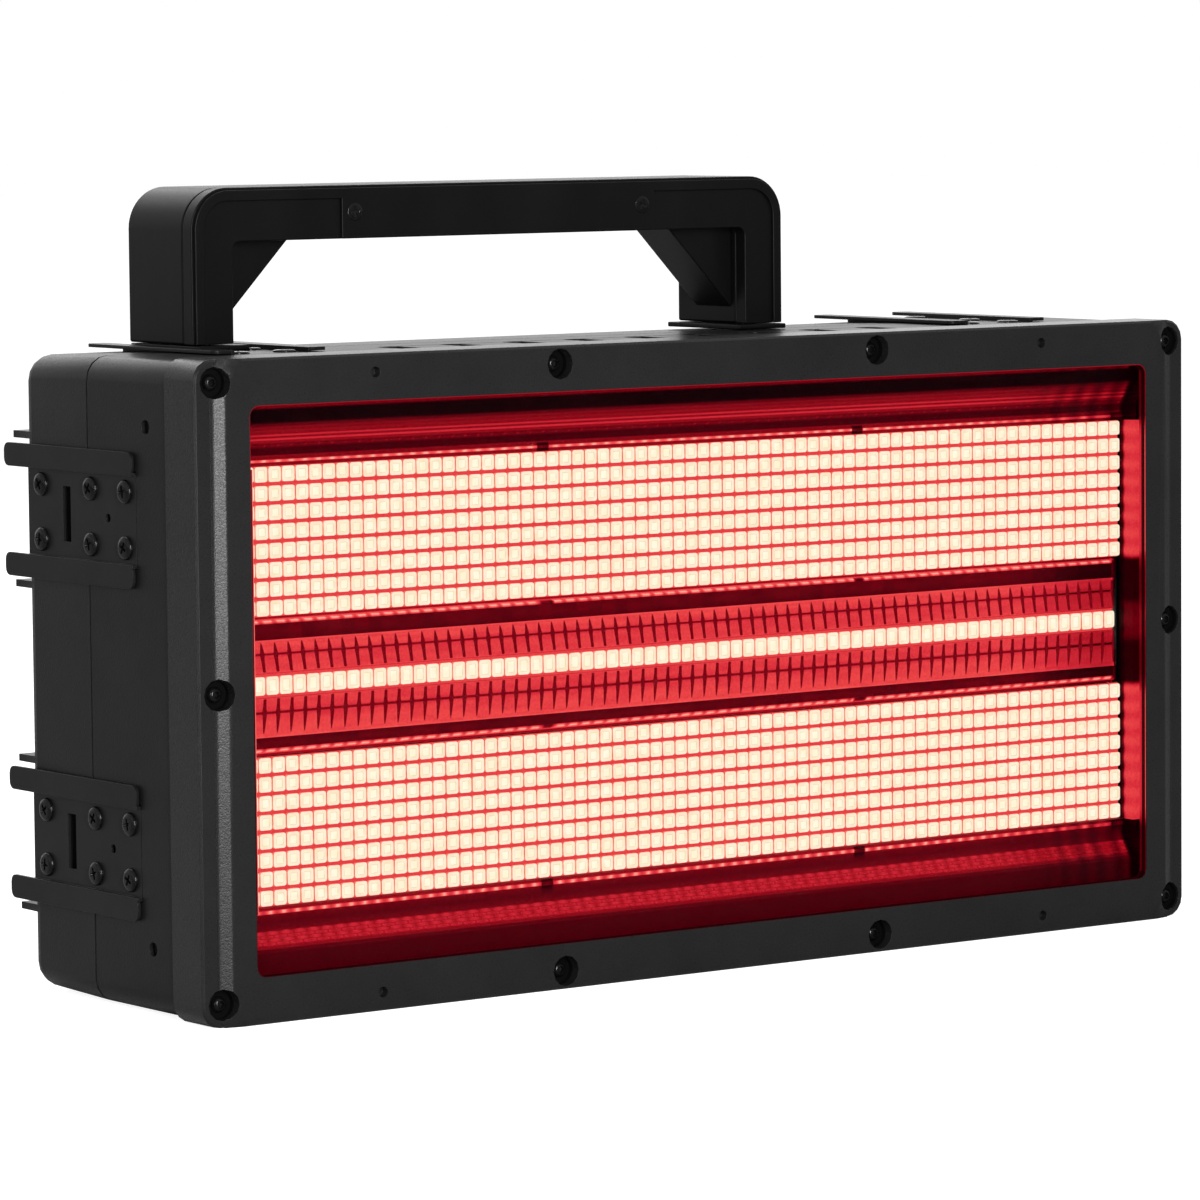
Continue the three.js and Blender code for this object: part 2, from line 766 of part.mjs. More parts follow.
// The row of vent openings in the shell's top wall
function ventCutters() {
  const cutters = [];
  for (let vent = 0; vent < ventCount; vent += 1) {
    const x = (vent - (ventCount - 1) / 2) * ventPitch;
    const shape = roundedRectangle(ventWidth, ventLength, ventCorner, x, ventY + ventLength / 2);
    cutters.push(plateAlongZ(shape, [housingTop - shellWall - overrun, housingTop + overrun]));
  }
  return cutters;
}

// Thin bowed grooves that run from one vent opening to the next, in front and behind
function grooveCutters() {
  const cutters = [];
  const halfGap = ventPitch / 2;
  for (let pad = 0; pad + 1 < ventCount; pad += 1) {
    const x = (pad - (ventCount - 2) / 2) * ventPitch;
    for (const side of [-1, 1]) {
      const edge = ventY + ventLength / 2 + side * (ventLength / 2 - padBulge - grooveWidth);
      const bow = side * padBulge;
      const shape = polygon([
        [x - halfGap, edge],
        [x - halfGap / 2, edge + bow],
        [x + halfGap / 2, edge + bow],
        [x + halfGap, edge],
        [x + halfGap, edge + side * grooveWidth],
        [x + halfGap / 2, edge + bow + side * grooveWidth],
        [x - halfGap / 2, edge + bow + side * grooveWidth],
        [x - halfGap, edge + side * grooveWidth],
      ]);
      cutters.push(plateAlongZ(shape, [housingTop - grooveDepth, housingTop + overrun]));
    }
  }
  return cutters;
}

function footPlaces() {
  const ends = [frontShellY + footFromEnds, rearY - footFromEnds];
  return [-footOffset, footOffset].flatMap((x) => ends.map((y) => [x, y]));
}

function footPockets() {
  const span = [housingBottom - overrun, housingBottom + footPocket];
  return footPlaces().map(([x, y]) => roundAlongZ(footRadius + seatGap, span, x, y));
}

function makeFrontHousing() {
  const end = jointY - shellJoint / 2;
  const outer = [housingWidth, housingHeight, housingCorner];
  const inner = [housingWidth - 2 * shellWall, housingHeight - 2 * shellWall, housingCorner - shellWall];
  const tube = frameRing(outer, inner, [frontShellY, end]);
  const dowelY = frontShellY + dowelFromBezel;
  const dowels = [];
  for (const side of [-1, 1]) {
    const deep = side * (housingSide - dowelDepth);
    const out = side * (housingSide + overrun);
    const span = [Math.min(deep, out), Math.max(deep, out)];
    dowels.push(roundAlongX(dowelRadius, span, dowelY, middleZ + dowelHeight));
    dowels.push(roundAlongX(dowelRadius, span, dowelY, middleZ - dowelHeight));
  }
  const bores = screwPlaces.map(([x, z]) => {
    const span = [frontShellY - overrun, frontShellY + screwGrip + seatGap];
    return roundAlongY(screwShaftRadius + seatGap, span, x, middleZ + z, hexSides);
  });
  const body = join([tube, ...shellRim()]);
  const cutters = [...bores, ...ventCutters(), ...grooveCutters(), ...dowels];
  cutters.push(...bracketPockets(), ...footPockets());
  addPiece("front_housing", carve(body, cutters), housingPaint);
}

function makeHousingGasket() {
  const outer = [housingWidth - 2 * sealInset, housingHeight - 2 * sealInset, housingCorner];
  const inner = [outer[0] - 2 * sealWidth, outer[1] - 2 * sealWidth, housingCorner - sealWidth];
  const half = shellJoint / 2 - sealSlack;
  const ring = frameRing(outer, inner, [jointY - half, jointY + half]);
  addPiece("housing_gasket", carve(ring, bracketPockets()), sealRubber);
}

// The row of sockets, its first one at the right seen from the front
const socketKinds = [
  ["power_in", powerBlue],
  ["power_out", powerGrey],
  ["data_in", dataNickel],
  ["data_out", dataNickel],
];
const socketPlaces = socketKinds.map(([name, material], place) => {
  return { name, material, x: ((socketKinds.length - 1) / 2 - place) * socketPitch };
});

// The shell's outline at a station: it draws in a little towards the rear and rounds off at its edge
function rearRing(y, inset) {
  const share = (y - jointY) / rearShellDepth;
  const draw = 2 * (rearDraft * share + inset);
  return ringAt(housingWidth - draw, housingHeight - draw, housingCorner, y);
}

// Short fins that run rearwards beside each side bracket's lips
function rearFins() {
  const fins = [];
  for (const seat of bracketSeats.filter((place) => place.z !== housingTop)) {
    for (const side of [-1, 1]) {
      const near = bracketHeight / 2 + finGap;
      const span = [side * near, side * (near + finHeight)].sort((a, b) => a - b);
      const out = -rearDraft;
      const along = [rearY - rearRound, rearY + finLength];
      fins.push(seatBlock(seat, [out - finThickness, out], along, span));
    }
  }
  return fins;
}

function rearCutters() {
  const backSpan = [rearY - shellWall - overrun, rearY + overrun];
  const fanPlaces = [-fanOffset, fanOffset];
  const cutters = fanPlaces.map((x) => roundAlongY(fanBore, backSpan, x, fanHeight, largeSides));
  const openingWidth = panelWidth - 2 * panelLip;
  const openingHeight = panelHeight - 2 * panelLip;
  cutters.push(plateAlongY(
    roundedRectangle(openingWidth, openingHeight, panelCorner, 0, panelBottom + panelHeight / 2),
    backSpan,
  ));
  for (const place of socketPlaces) {
    cutters.push(roundAlongY(socketRadius + seatGap, backSpan, place.x, socketHeight, largeSides));
  }
  return cutters;
}

function makeRearCover() {
  const start = jointY + shellJoint / 2;
  const quarter = Math.PI / 2;
  const rings = [rearRing(start, 0)];
  for (let step = 0; step <= cornerSteps; step += 1) {
    const angle = (step / cornerSteps) * quarter;
    const y = rearY - rearRound * (1 - Math.sin(angle));
    rings.push(rearRing(y, rearRound * (1 - Math.cos(angle))));
  }
  const outer = loft(rings);
  const hollow = loft([
    rearRing(start - overrun, shellWall),
    rearRing(rearY - rearRound, shellWall),
    rearRing(rearY - shellWall, shellWall + rearRound / 2),
  ]);
  const body = outer.subtract(hollow).add(join(rearFins()));
  const cutters = [...rearCutters(), ...bracketPockets(), ...footPockets()];
  addPiece("rear_cover", carve(body, cutters), housingPaint);
}

function makeFeet() {
  const names = ["foot_left_front", "foot_left_rear", "foot_right_front", "foot_right_rear"];
  footPlaces().forEach(([x, y], place) => {
    addPiece(names[place], roundAlongZ(footRadius, [0, footThickness], x, y), footRubber);
  });
}

// The handle's arch in front view, drawn in by an inset all round its outside
function archShape(inset) {
  const left = handleCenter - handleWidth / 2 + inset;
  const right = handleCenter + handleWidth / 2 - inset;
  const top = legFloorZ + handleRise - inset;
  const radius = handleCorner - inset;
  const inLeft = handleCenter - handleWidth / 2 + legWidth;
  const inRight = handleCenter + handleWidth / 2 - legWidth;
  const under = legFloorZ + handleRise - barHeight;
  const shape = new THREE.Shape();
  shape.moveTo(inRight, legFloorZ);
  shape.lineTo(right, legFloorZ);
  shape.absarc(right - radius, top - radius, radius, 0, Math.PI / 2);
  shape.absarc(left + radius, top - radius, radius, Math.PI / 2, Math.PI);
  shape.lineTo(left, legFloorZ);
  shape.lineTo(inLeft, legFloorZ);
  shape.lineTo(inLeft, under);
  shape.lineTo(inRight, under);
  shape.closePath();
  return shape;
}

// The rib inside a leg with its slanting gusset up to the bar; side is 1 for the right leg
function gussetSolid(side) {
  const wall = handleCenter + side * (handleWidth / 2 - legWidth + seatGap);
  const reach = handleCenter + side * (handleWidth / 2 - legWidth - gussetWidth);
  const ribFace = handleCenter + side * (handleWidth / 2 - legWidth - ribWidth);
  const under = legFloorZ + handleRise - barHeight;
  const slope = gussetDrop / gussetWidth;
  const ribTop = under - (gussetWidth - ribWidth) * slope;
  const shape = polygon([
    [wall, legFloorZ],
    [ribFace, legFloorZ],
    [ribFace, ribTop],
    [reach, under],
    [reach, under + seatGap],
    [wall, under + seatGap],
  ]);
  const start = handleFrontY + gussetSetback;
  return plateAlongY(shape, [start, start + gussetDepth]);
}

// The recess in the face round one corner of the arch
function cornerRecess(side) {
  const outerX = handleCenter + side * (handleWidth / 2 - panelRim);
  const legX = handleCenter + side * (handleWidth / 2 - legWidth - overrun);
  const gripX = handleCenter + side * (gripWidth / 2);
  const top = legFloorZ + handleRise - panelRim;
  const under = legFloorZ + handleRise - barHeight - overrun;
  const radius = handleCorner - panelRim;
  const shape = new THREE.Shape();
  shape.moveTo(gripX, under);
  shape.lineTo(gripX, top);
  const arcX = outerX - side * radius;
  if (side > 0) shape.absarc(arcX, top - radius, radius, Math.PI / 2, 0, true);
  else shape.absarc(arcX, top - radius, radius, Math.PI / 2, Math.PI, false);
  shape.lineTo(outerX, legFloorZ - overrun);
  shape.lineTo(legX, legFloorZ - overrun);
  shape.lineTo(legX, under);
  shape.closePath();
  return plateAlongY(shape, [handleFrontY - overrun, handleFrontY + panelDepth]);
}

function handleScrewPlaces() {
  const z = legFloorZ + handleRise - barHeight / 2;
  const offset = gripWidth / 2 - handleScrewFromGrip;
  return [
    ["handle_screw_left", handleCenter - offset, z],
    ["handle_screw_right", handleCenter + offset, z],
  ];
}

function makeHandle() {
  const faceEnd = handleFrontY + faceDepth;
  const frameSpan = [faceEnd + seatGap, handleFrontY + handleDepth];
  const gussets = [gussetSolid(-1), gussetSolid(1)];
  const frame = join([plateAlongY(archShape(0), frameSpan), ...gussets]);
  const chamfer = plateAlongY(archShape(handleEdge / 2), [handleFrontY, handleFrontY + handleEdge]);
  const rim = plateAlongY(archShape(0), [handleFrontY + handleEdge / 2, handleFrontY + handleEdge]);
  const band = plateAlongY(archShape(faceBandInset), [handleFrontY + handleEdge - seatGap, faceEnd]);
  const screwCuts = handleScrewPlaces().map(([, x, z]) => {
    const span = [handleFrontY - overrun, handleFrontY + handleScrewBore];
    return roundAlongY(handleScrewRadius + seatGap, span, x, z);
  });
  const face = carve(join([chamfer, rim, band]), [cornerRecess(-1), cornerRecess(1), ...screwCuts]);
  addPiece("handle_frame", frame, handlePlastic);
  addPiece("handle_face", face, handlePlastic);
  const seat = handleFrontY + handleScrewBore - seatGap;
  const head = [seat - handleScrewHead, seat];
  for (const [name, x, z] of handleScrewPlaces()) {
    const deep = [head[0] - overrun, head[0] + handleScrewHead / 2];
    const socket = roundAlongY(screwSocketRadius, deep, x, z, hexSides);
    addPiece(name, roundAlongY(handleScrewRadius, head, x, z).subtract(socket), screwBlack);
  }
}

// The pads that carry the two legs: the left one stands in a bracket's channel
function makeHandleFeet() {
  const channel = bracketHeight / 2 - lipHeight - seatGap;
  const legLeft = handleCenter - handleWidth / 2;
  const legRight = handleCenter + handleWidth / 2;
  const padSpan = [handleFrontY - bracketSheet, handleFrontY + handleDepth];
  const height = [housingTop + seatGap, housingTop + seatGap + footHeight];
  const leftStart = Math.max(legLeft, -bracketTopOffset - channel);
  const left = block([leftStart, legLeft + legWidth + ribWidth], padSpan, height);
  const right = block([legRight - legWidth - ribWidth, legRight], padSpan, height);
  addPiece("handle_foot_left", left, handlePlastic);
  addPiece("handle_foot_right", right, handlePlastic);
}

// A fan: its square frame with a motor on struts, and the bladed rotor in front of the motor
function makeFan(side, x) {
  const rear = rearY - shellWall - seatGap;
  const front = rear - fanDepth;
  const outline = roundedRectangle(fanSize, fanSize, panelCorner, x, fanHeight);
  const bore = roundAlongY(fanBore, [front - overrun, rear + overrun], x, fanHeight, largeSides);
  const motor = roundAlongY(hubRadius, [rear - motorDepth, rear], x, fanHeight, smallSides);
  const struts = [];
  for (let strut = 0; strut < strutCount; strut += 1) {
    const arm = new THREE.BoxGeometry(fanBore + overrun, strutWidth, strutWidth);
    arm.translate((fanBore + overrun) / 2, 0, 0);
    arm.rotateY((strut / strutCount) * 2 * Math.PI + Math.PI / 2);
    arm.translate(x, rear - strutWidth / 2, fanHeight);
    struts.push(solid(arm));
  }
  const frame = join([plateAlongY(outline, [front, rear]).subtract(bore), motor, ...struts]);
  addPiece(`fan_${side}_frame`, frame, fanPlastic);
  const hubEnd = rear - motorDepth - seatGap;
  const hubMiddle = hubEnd - hubDepth / 2;
  const parts = [roundAlongY(hubRadius, [hubEnd - hubDepth, hubEnd], 0, 0, smallSides)];
  for (let blade = 0; blade < bladeCount; blade += 1) {
    const length = fanBore - bladeTipGap - hubRadius + overrun;
    const vane = new THREE.BoxGeometry(length, bladeThickness, bladeChord * Math.cos(bladePitch));
    vane.rotateX(bladePitch);
    vane.translate(hubRadius - overrun + length / 2, hubMiddle, 0);
    vane.rotateY((blade / bladeCount) * 2 * Math.PI);
    parts.push(solid(vane));
  }
  const rotor = addPiece(`fan_${side}_rotor`, join(parts), fanPlastic);
  rotor.position.set(x, 0, fanHeight);
}

function ringAlongY(radius, [y0, y1], x, z) {
  const half = guardWire / 2;
  const section = [
    new THREE.Vector2(radius - half, y0),
    new THREE.Vector2(radius + half, y0),
    new THREE.Vector2(radius + half, y1),
    new THREE.Vector2(radius - half, y1),
    new THREE.Vector2(radius - half, y0),
  ];
  const ring = new THREE.LatheGeometry(section, guardSides);
  ring.translate(x, 0, z);
  return solid(ring);
}

// The wire guard over a fan's opening
function makeGuard(side, x) {
  const span = [rearY + seatGap, rearY + seatGap + guardWire];
  const parts = [];
  const outerRadius = fanBore + 2 * guardWire;
  for (let ring = 0; ring < guardRings; ring += 1) {
    parts.push(ringAlongY(outerRadius * ((ring + 1) / guardRings), span, x, fanHeight));
  }
  for (let spoke = 0; spoke < guardSpokes; spoke += 1) {
    const reach = outerRadius + guardTab / 2;
    const bar = new THREE.BoxGeometry(2 * reach, guardWire, guardWire);
    bar.rotateY(((spoke + 1 / 2) / guardSpokes) * Math.PI);
    bar.translate(x, (span[0] + span[1]) / 2, fanHeight);
    parts.push(solid(bar));
  }
  addPiece(`fan_${side}_guard`, join(parts), guardSteel);
}

// The rear panel: a plate over its opening, a display behind a cut-out and a row of buttons
function makeControlPanel() {
  const middle = panelBottom + panelHeight / 2;
  const face = rearY + seatGap + panelThickness;
  const displayMiddle = panelBottom + panelHeight - panelTopShare * panelSpare - displayHeight / 2;
  const outline = roundedRectangle(panelWidth, panelHeight, panelCorner, 0, middle);
  const plate = plateAlongY(outline, [rearY + seatGap, face]);
  const displayCut = block(
    [-displayWidth / 2, displayWidth / 2],
    [rearY - overrun, face + overrun],
    [displayMiddle - displayHeight / 2, displayMiddle + displayHeight / 2],
  );
  const buttonZ = panelBottom + panelLowShare * panelSpare + buttonRadius;
  const names = ["button_menu", "button_down", "button_up", "button_enter"];
  const places = names.map((name, place) => [name, ((names.length - 1) / 2 - place) * buttonPitch]);
  const buttonCuts = places.map(([, x]) => {
    return roundAlongY(buttonRadius + seatGap, [rearY - overrun, face + overrun], x, buttonZ, smallSides);
  });
  const bossX = panelWidth / 2 - 2 * panelLip - standoffRadius;
  const bossZ = panelHeight / 2 - 3 * panelLip - standoffRadius;
  const boardFace = rearY - buttonFlangeThickness - buttonTravel - switchHeight;
  const bosses = [-1, 1].flatMap((sx) => [-1, 1].map((sz) => {
    const span = [boardFace + seatGap, rearY + seatGap + panelThickness / 2];
    return roundAlongY(standoffRadius, span, sx * bossX, middle + sz * bossZ);
  }));
  addPiece("control_panel", carve(join([plate, ...bosses]), [displayCut, ...buttonCuts]), housingPaint);
  const glassHalf = [displayWidth / 2 - seatGap, displayHeight / 2 - seatGap];
  const glass = block(
    [-glassHalf[0], glassHalf[0]],
    [rearY, face - seatGap],
    [displayMiddle - glassHalf[1], displayMiddle + glassHalf[1]],
  );
  addPiece("display_window", glass, displayGlass);
  for (const [name, x] of places) {
    const cap = roundAlongY(buttonRadius, [rearY - seatGap, face + buttonRise], x, buttonZ, smallSides);
    const behind = [rearY - buttonFlangeThickness, rearY];
    const collar = roundAlongY(buttonRadius + buttonFlange, behind, x, buttonZ, smallSides);
    addPiece(name, cap.add(collar), buttonGrey);
  }
  const boardHalf = [panelWidth / 2 - 2 * panelLip, panelHeight / 2 - 3 * panelLip];
  const board = block(
    [-boardHalf[0], boardHalf[0]],
    [boardFace - boardThickness, boardFace],
    [middle - boardHalf[1], middle + boardHalf[1]],
  );
  addPiece("control_board", board, circuitGreen);
}

// A round panel connector on a square flange, open to the rear, with a core inside
function makeSockets() {
  const face = rearY + seatGap + socketFlangeThickness;
  const inner = rearY - socketDepth;
  for (const place of socketPlaces) {
    const flangeSize = [socketFlangeWidth, socketFlangeHeight];
    const outline = roundedRectangle(...flangeSize, socketCorner, place.x, socketHeight);
    const flange = plateAlongY(outline, [rearY + seatGap, face]);
    const deep = face - socketBoreDepth;
    const coreSpan = [deep - overrun, face - socketBoreDepth / 2];
    const barrel = roundAlongY(socketRadius, [inner, face - overrun], place.x, socketHeight, largeSides);
    const mouth = roundAlongY(socketBore, [deep, face + overrun], place.x, socketHeight, largeSides);
    const core = roundAlongY(coreRadius, coreSpan, place.x, socketHeight);
    const latchLow = socketHeight + socketBore + seatGap;
    const latchCut = block(
      [place.x - latchWidth / 2 - seatGap, place.x + latchWidth / 2 + seatGap],
      [face - socketFlangeThickness / 2 - latchTravel, face + overrun],
      [latchLow, latchLow + latchHeight + 2 * seatGap],
    );
    const body = flange.add(barrel).subtract(mouth).add(core);
    const latched = place.name === "data_out";
    addPiece(place.name, latched ? body.subtract(latchCut) : body, place.material);
    if (!latched) continue;
    const floor = face - socketFlangeThickness / 2;
    const latch = block(
      [place.x - latchWidth / 2, place.x + latchWidth / 2],
      [floor + seatGap, face + latchRise - seatGap],
      [latchLow + seatGap, latchLow + seatGap + latchHeight],
    );
    addPiece("data_out_latch", latch, screwBlack);
  }
}

function makeElectronics(finTipY) {
  const driverY = finTipY + seatGap;
  const low = middleZ + centerGap / 2 - driverDrop;
  const boardSpan = [driverY, driverY + boardThickness];
  const board = block([-driverWidth / 2, driverWidth / 2], boardSpan, [low, low + driverHeight]);
  const parts = [board];
  for (let place = 0; place < driverParts; place += 1) {
    const x = ((place + 1 / 2) / driverParts - 1 / 2) * driverWidth;
    const half = driverPartSize / 2;
    const span = [driverY + boardThickness / 2, driverY + boardThickness + driverPartDepth];
    const partMiddle = low + driverHeight / 2;
    parts.push(block([x - half, x + half], span, [partMiddle - half, partMiddle + half]));
  }
  addPiece("driver_board", join(parts), circuitGreen);
  const supplySpan = [driverY + boardThickness, driverY + boardThickness + supplyDepth];
  const drawnIn = (rearDraft * (supplySpan[1] - jointY)) / rearShellDepth;
  const floor = housingBottom + shellWall + drawnIn + seatGap;
  const supply = block([-supplyWidth / 2, supplyWidth / 2], supplySpan, [floor, floor + supplyHeight]);
  addPiece("power_supply", supply, supplySteel);
}

makeBezel();
makeBezelScrews();
makeLensStack();
makeInnerFrame();
makeLedBoards();
makeReflectors();
const finTipY = makeHeatSink();
makeFrontHousing();
makeHousingGasket();
makeRearCover();
makeFeet();
makeBrackets();
makeHandle();
makeHandleFeet();
makeFan("left", -fanOffset);
makeFan("right", fanOffset);
makeGuard("left", -fanOffset);
makeGuard("right", fanOffset);
makeControlPanel();
makeSockets();
makeElectronics(finTipY);

export default strobe;
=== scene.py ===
"""The strobe light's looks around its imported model: finishes, lit field, screws and soft edges."""

import math
import random

import bmesh
import bpy
from mathutils import Matrix, Vector


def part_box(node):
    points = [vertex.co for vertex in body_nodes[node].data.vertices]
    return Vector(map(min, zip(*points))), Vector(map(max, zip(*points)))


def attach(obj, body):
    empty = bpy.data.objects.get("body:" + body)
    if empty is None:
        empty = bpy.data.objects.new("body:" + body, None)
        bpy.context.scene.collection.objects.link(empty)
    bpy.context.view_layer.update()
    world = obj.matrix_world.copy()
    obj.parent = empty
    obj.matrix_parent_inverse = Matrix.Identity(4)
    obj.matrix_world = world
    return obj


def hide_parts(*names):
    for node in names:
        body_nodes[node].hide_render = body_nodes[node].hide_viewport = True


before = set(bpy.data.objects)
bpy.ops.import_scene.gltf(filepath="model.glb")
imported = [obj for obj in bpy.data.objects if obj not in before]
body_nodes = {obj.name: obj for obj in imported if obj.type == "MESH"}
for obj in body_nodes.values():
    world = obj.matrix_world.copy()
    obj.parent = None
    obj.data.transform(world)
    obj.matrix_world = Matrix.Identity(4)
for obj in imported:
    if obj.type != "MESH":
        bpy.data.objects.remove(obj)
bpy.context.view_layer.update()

MM = 0.001

# Camera, at the photograph's viewpoint
CAMERA_PLACE = Vector((-1246.55, -1699.65, 306.4)) * MM
CAMERA_YAW = math.radians(36.08)
CAMERA_DOWN = math.radians(4.96)
CAMERA_ROLL = math.radians(-0.53)
SENSOR = 36.0
IMAGE_PIXELS = 1200
FOCAL_PIXELS = 6063

# Light field
LED_COLUMNS = 72
LED_ROWS = 8
LED_PITCH = 5.3 * MM
ROW_PITCH = 6.24 * MM
LED_WIDTH = 4.8 * MM
LED_TALL = 5.0 * MM
CENTER_LED_TALL = 6.0 * MM
LED_CORNER = 0.75 * MM
LED_RISE = 1.2 * MM
LED_EDGE = 0.15 * MM
LED_RIM = 0.95 * MM
LED_WELL = 0.3 * MM
LED_WELL_DEPTH = 0.15 * MM
LED_STEPS = 2
LIT_SKIN = 0.05 * MM
# How much of the LEDs' red light is painted on the boards' faces
BOARD_GLOW = 0.78
FIELD_MIDDLE = 108.22 * MM
FIELD_HALF = 36 * LED_PITCH
STRIP_STEPS = 10
# Painted shade on the lit beads where clips cross them: columns, half width, shade, shift and reach
CLIP_COLUMNS = (-0.5, 23.0, 48.4, 70.8)
CLIP_HALF = 0.42
CLIP_SHADE = 0.35
CLIP_ASIDE = 3.6 * MM
CLIP_REACH = 75.0 * MM

# Where the field's light falls off
FADE_RIGHT = (120 * MM, 180 * MM)
FADE_END = (188.5 * MM, 190.5 * MM)
FADE_BLOTCH = (140 * MM, 170 * MM)
FADE_LEFT = (176 * MM, 192 * MM)
FADE_COLUMNS = (62, 71)

# Frame round the field, from its opening outwards
FRAME_FRONT = -52.55 * MM
FRAME_SHELF = -47.75 * MM
FRAME_BACK = -45.35 * MM
FRAME_OPENING = 191.1 * MM
FRAME_HALF_WIDTH = 196.9 * MM
FRAME_SHELF_START = 72.3 * MM
FRAME_SLOPE_START = 78.02 * MM
FRAME_SLOPE_END = 86.02 * MM
FRAME_HALF_HEIGHT = 95.92 * MM
TROUGH_HALF = 22 * MM
WALL_LIT = (TROUGH_HALF - MM, TROUGH_HALF + 2 * MM)
WALL_PATCH = (4 * MM, 9 * MM)
WALL_END = (FRAME_SHELF_START - 3 * MM, FRAME_SHELF_START + MM)
END_STEPS = 192

# Window
WINDOW_HALF_WIDTH = 190.8 * MM
WINDOW_HALF_HEIGHT = 92.82 * MM
WINDOW_CORNER = 3.5 * MM
WINDOW_FRONT = -60.3 * MM
WINDOW_REAR = -57.1 * MM
LINING_GAP = 0.03 * MM
LINING_THICKNESS = 0.25 * MM
WINDOW_STEPS = 6
WALL_STEPS = 48

# Reflector
REFLECTOR_HALF_WIDTH = 190.5 * MM
REFLECTOR_BACK = -42.35 * MM
CELL_BULGE = 0.4 * MM

# Screws
PAN_RADIUS = 4.0 * MM
PAN_RISE = 1.5 * MM
PAN_STEPS = 24
HEAD_ANGLES = [2 * math.pi * step / PAN_STEPS for step in range(PAN_STEPS)]
RECESS_TAPER = 0.85
CROSS_LENGTH = 2.1 * MM
CROSS_WIDTH = 0.5 * MM
CROSS_DEPTH = 1.0 * MM
TOP_PAN_RISE = 0.8 * MM
REAR_FACE = 53.75 * MM
REAR_ASIDE = 196 * MM
REAR_INNER = 66 * MM
REAR_LOW = 14 * MM
REAR_MIDDLE = 108 * MM
REAR_HIGH = 202 * MM
SOCKET_RADIUS = 1.4 * MM
SOCKET_DEPTH = 1.2 * MM
BUTTON_RISE = 2.0 * MM
SHAFT_SHARE = 0.52
# The black ring that paints the shade in a bezel screw's counterbore
BORE_SHADE_OUTER = 4.95 * MM
BORE_SHADE_INNER = 4.7 * MM
BORE_SHADE_FLOOR = 0.2 * MM
BORE_SHADE_RISE = 1.9 * MM
PAN_PLACES = (38.6 * MM, 7.3 * MM, -14.2 * MM)
PAN_ASIDE = 9.2 * MM
LIP_HEIGHT = 1.6 * MM

# Handle
HANDLE_STEPS = 12
HANDLE_CORNER = 14 * MM
HANDLE_LEG = 16.3 * MM
HANDLE_BAR = 18 * MM
INNER_CORNER = 3 * MM
RECESS_RIM = 4.5 * MM
RECESS_DEPTH = 1.2 * MM
RIM_STEP = 0.9 * MM
HANDLE_SCREW_RISE = 0.3 * MM
HANDLE_SCREW_SHIFT = 1.2 * MM
GRIP_LEFT = -111.3 * MM
GRIP_RIGHT = 19.75 * MM
GUSSET_SUNK = 0.2 * MM
GUSSET_DROP = 28.5 * MM
GUSSET_ALONG = 27.6 * MM
GUSSET_FRONT = 13.25 * MM
GUSSET_BACK = 33.75 * MM
HANDLE_EDGE = 0.8 * MM
GUSSET_EDGE = 0.5 * MM
COVER_EDGE = 0.4 * MM

# Seam
SEAM_SUNK = 0.3 * MM
SEAM_GRIP = 0.15 * MM
SEAM_WIDTH = 2 * MM
SEAM_STEPS = 8
SEAM_CORNER = 8 * MM
SHELL_HALF_WIDTH = 209.5 * MM
SHELL_TOP = 215.5 * MM
SHELL_BOTTOM = 0.9 * MM

# Where faces meet at more than this angle, their edge is sharp
SMOOTH_ANGLE = math.radians(35)
HEAD_SMOOTH = math.radians(50)
BEVEL_ANGLE = math.radians(30)
WELD_REACH = 0.005 * MM


def srgb(red, green, blue):
    """A colour given as 0 to 255 on a screen, as linear light."""
    def linear(value):
        share = value / 255
        if share <= 0.04045:
            return share / 12.92
        return ((share + 0.055) / 1.055) ** 2.4
    return (linear(red), linear(green), linear(blue), 1.0)


def black(level):
    """A dark grey with a touch of blue."""
    return srgb(level, level, level + 1)


# Materials

PAINT_SPECULAR = 0.08
BEZEL_SPECULAR = 0.16
PLASTIC_SPECULAR = 0.06
STEEL_SPECULAR = 0.12

# Sizes of the marks in the finishes
PAINT_CLOUD = 28 * MM
FLOW_MARK = 45 * MM
OXIDE_CLOUD = 1.5 * MM
RUBBER_DUST = 3 * MM
BOARD_CELL = 60 * MM
BOARD_GRAIN = 2 * MM
LENS_HAZE = 60 * MM
GLOW_SPECKLE = 0.8 * MM
LED_CLOUD = 4 * MM
RING_CLOUD = 2 * MM

# Grains with a relief: size and depth
HOUSING_GRAIN = (0.7 * MM, 0.05 * MM)
BEZEL_GRAIN = (0.6 * MM, 0.07 * MM)
BRACKET_GRAIN = (0.5 * MM, 0.03 * MM)
PLASTIC_GRAIN = (0.5 * MM, 0.02 * MM)
OXIDE_GRAIN = (0.4 * MM, 0.004 * MM)
RUBBER_GRAIN = (0.6 * MM, 0.03 * MM)
BRUSH_LINES = (1.2 * MM, 0.01 * MM)
GLOSS_WAVES = (12 * MM, 0.05 * MM)


def set_inputs(node, **values):
    """Sets a node's inputs by name, where an underscore stands for a space."""
    for name, value in values.items():
        node.inputs[name.replace("_", " ")].default_value = value
    return node


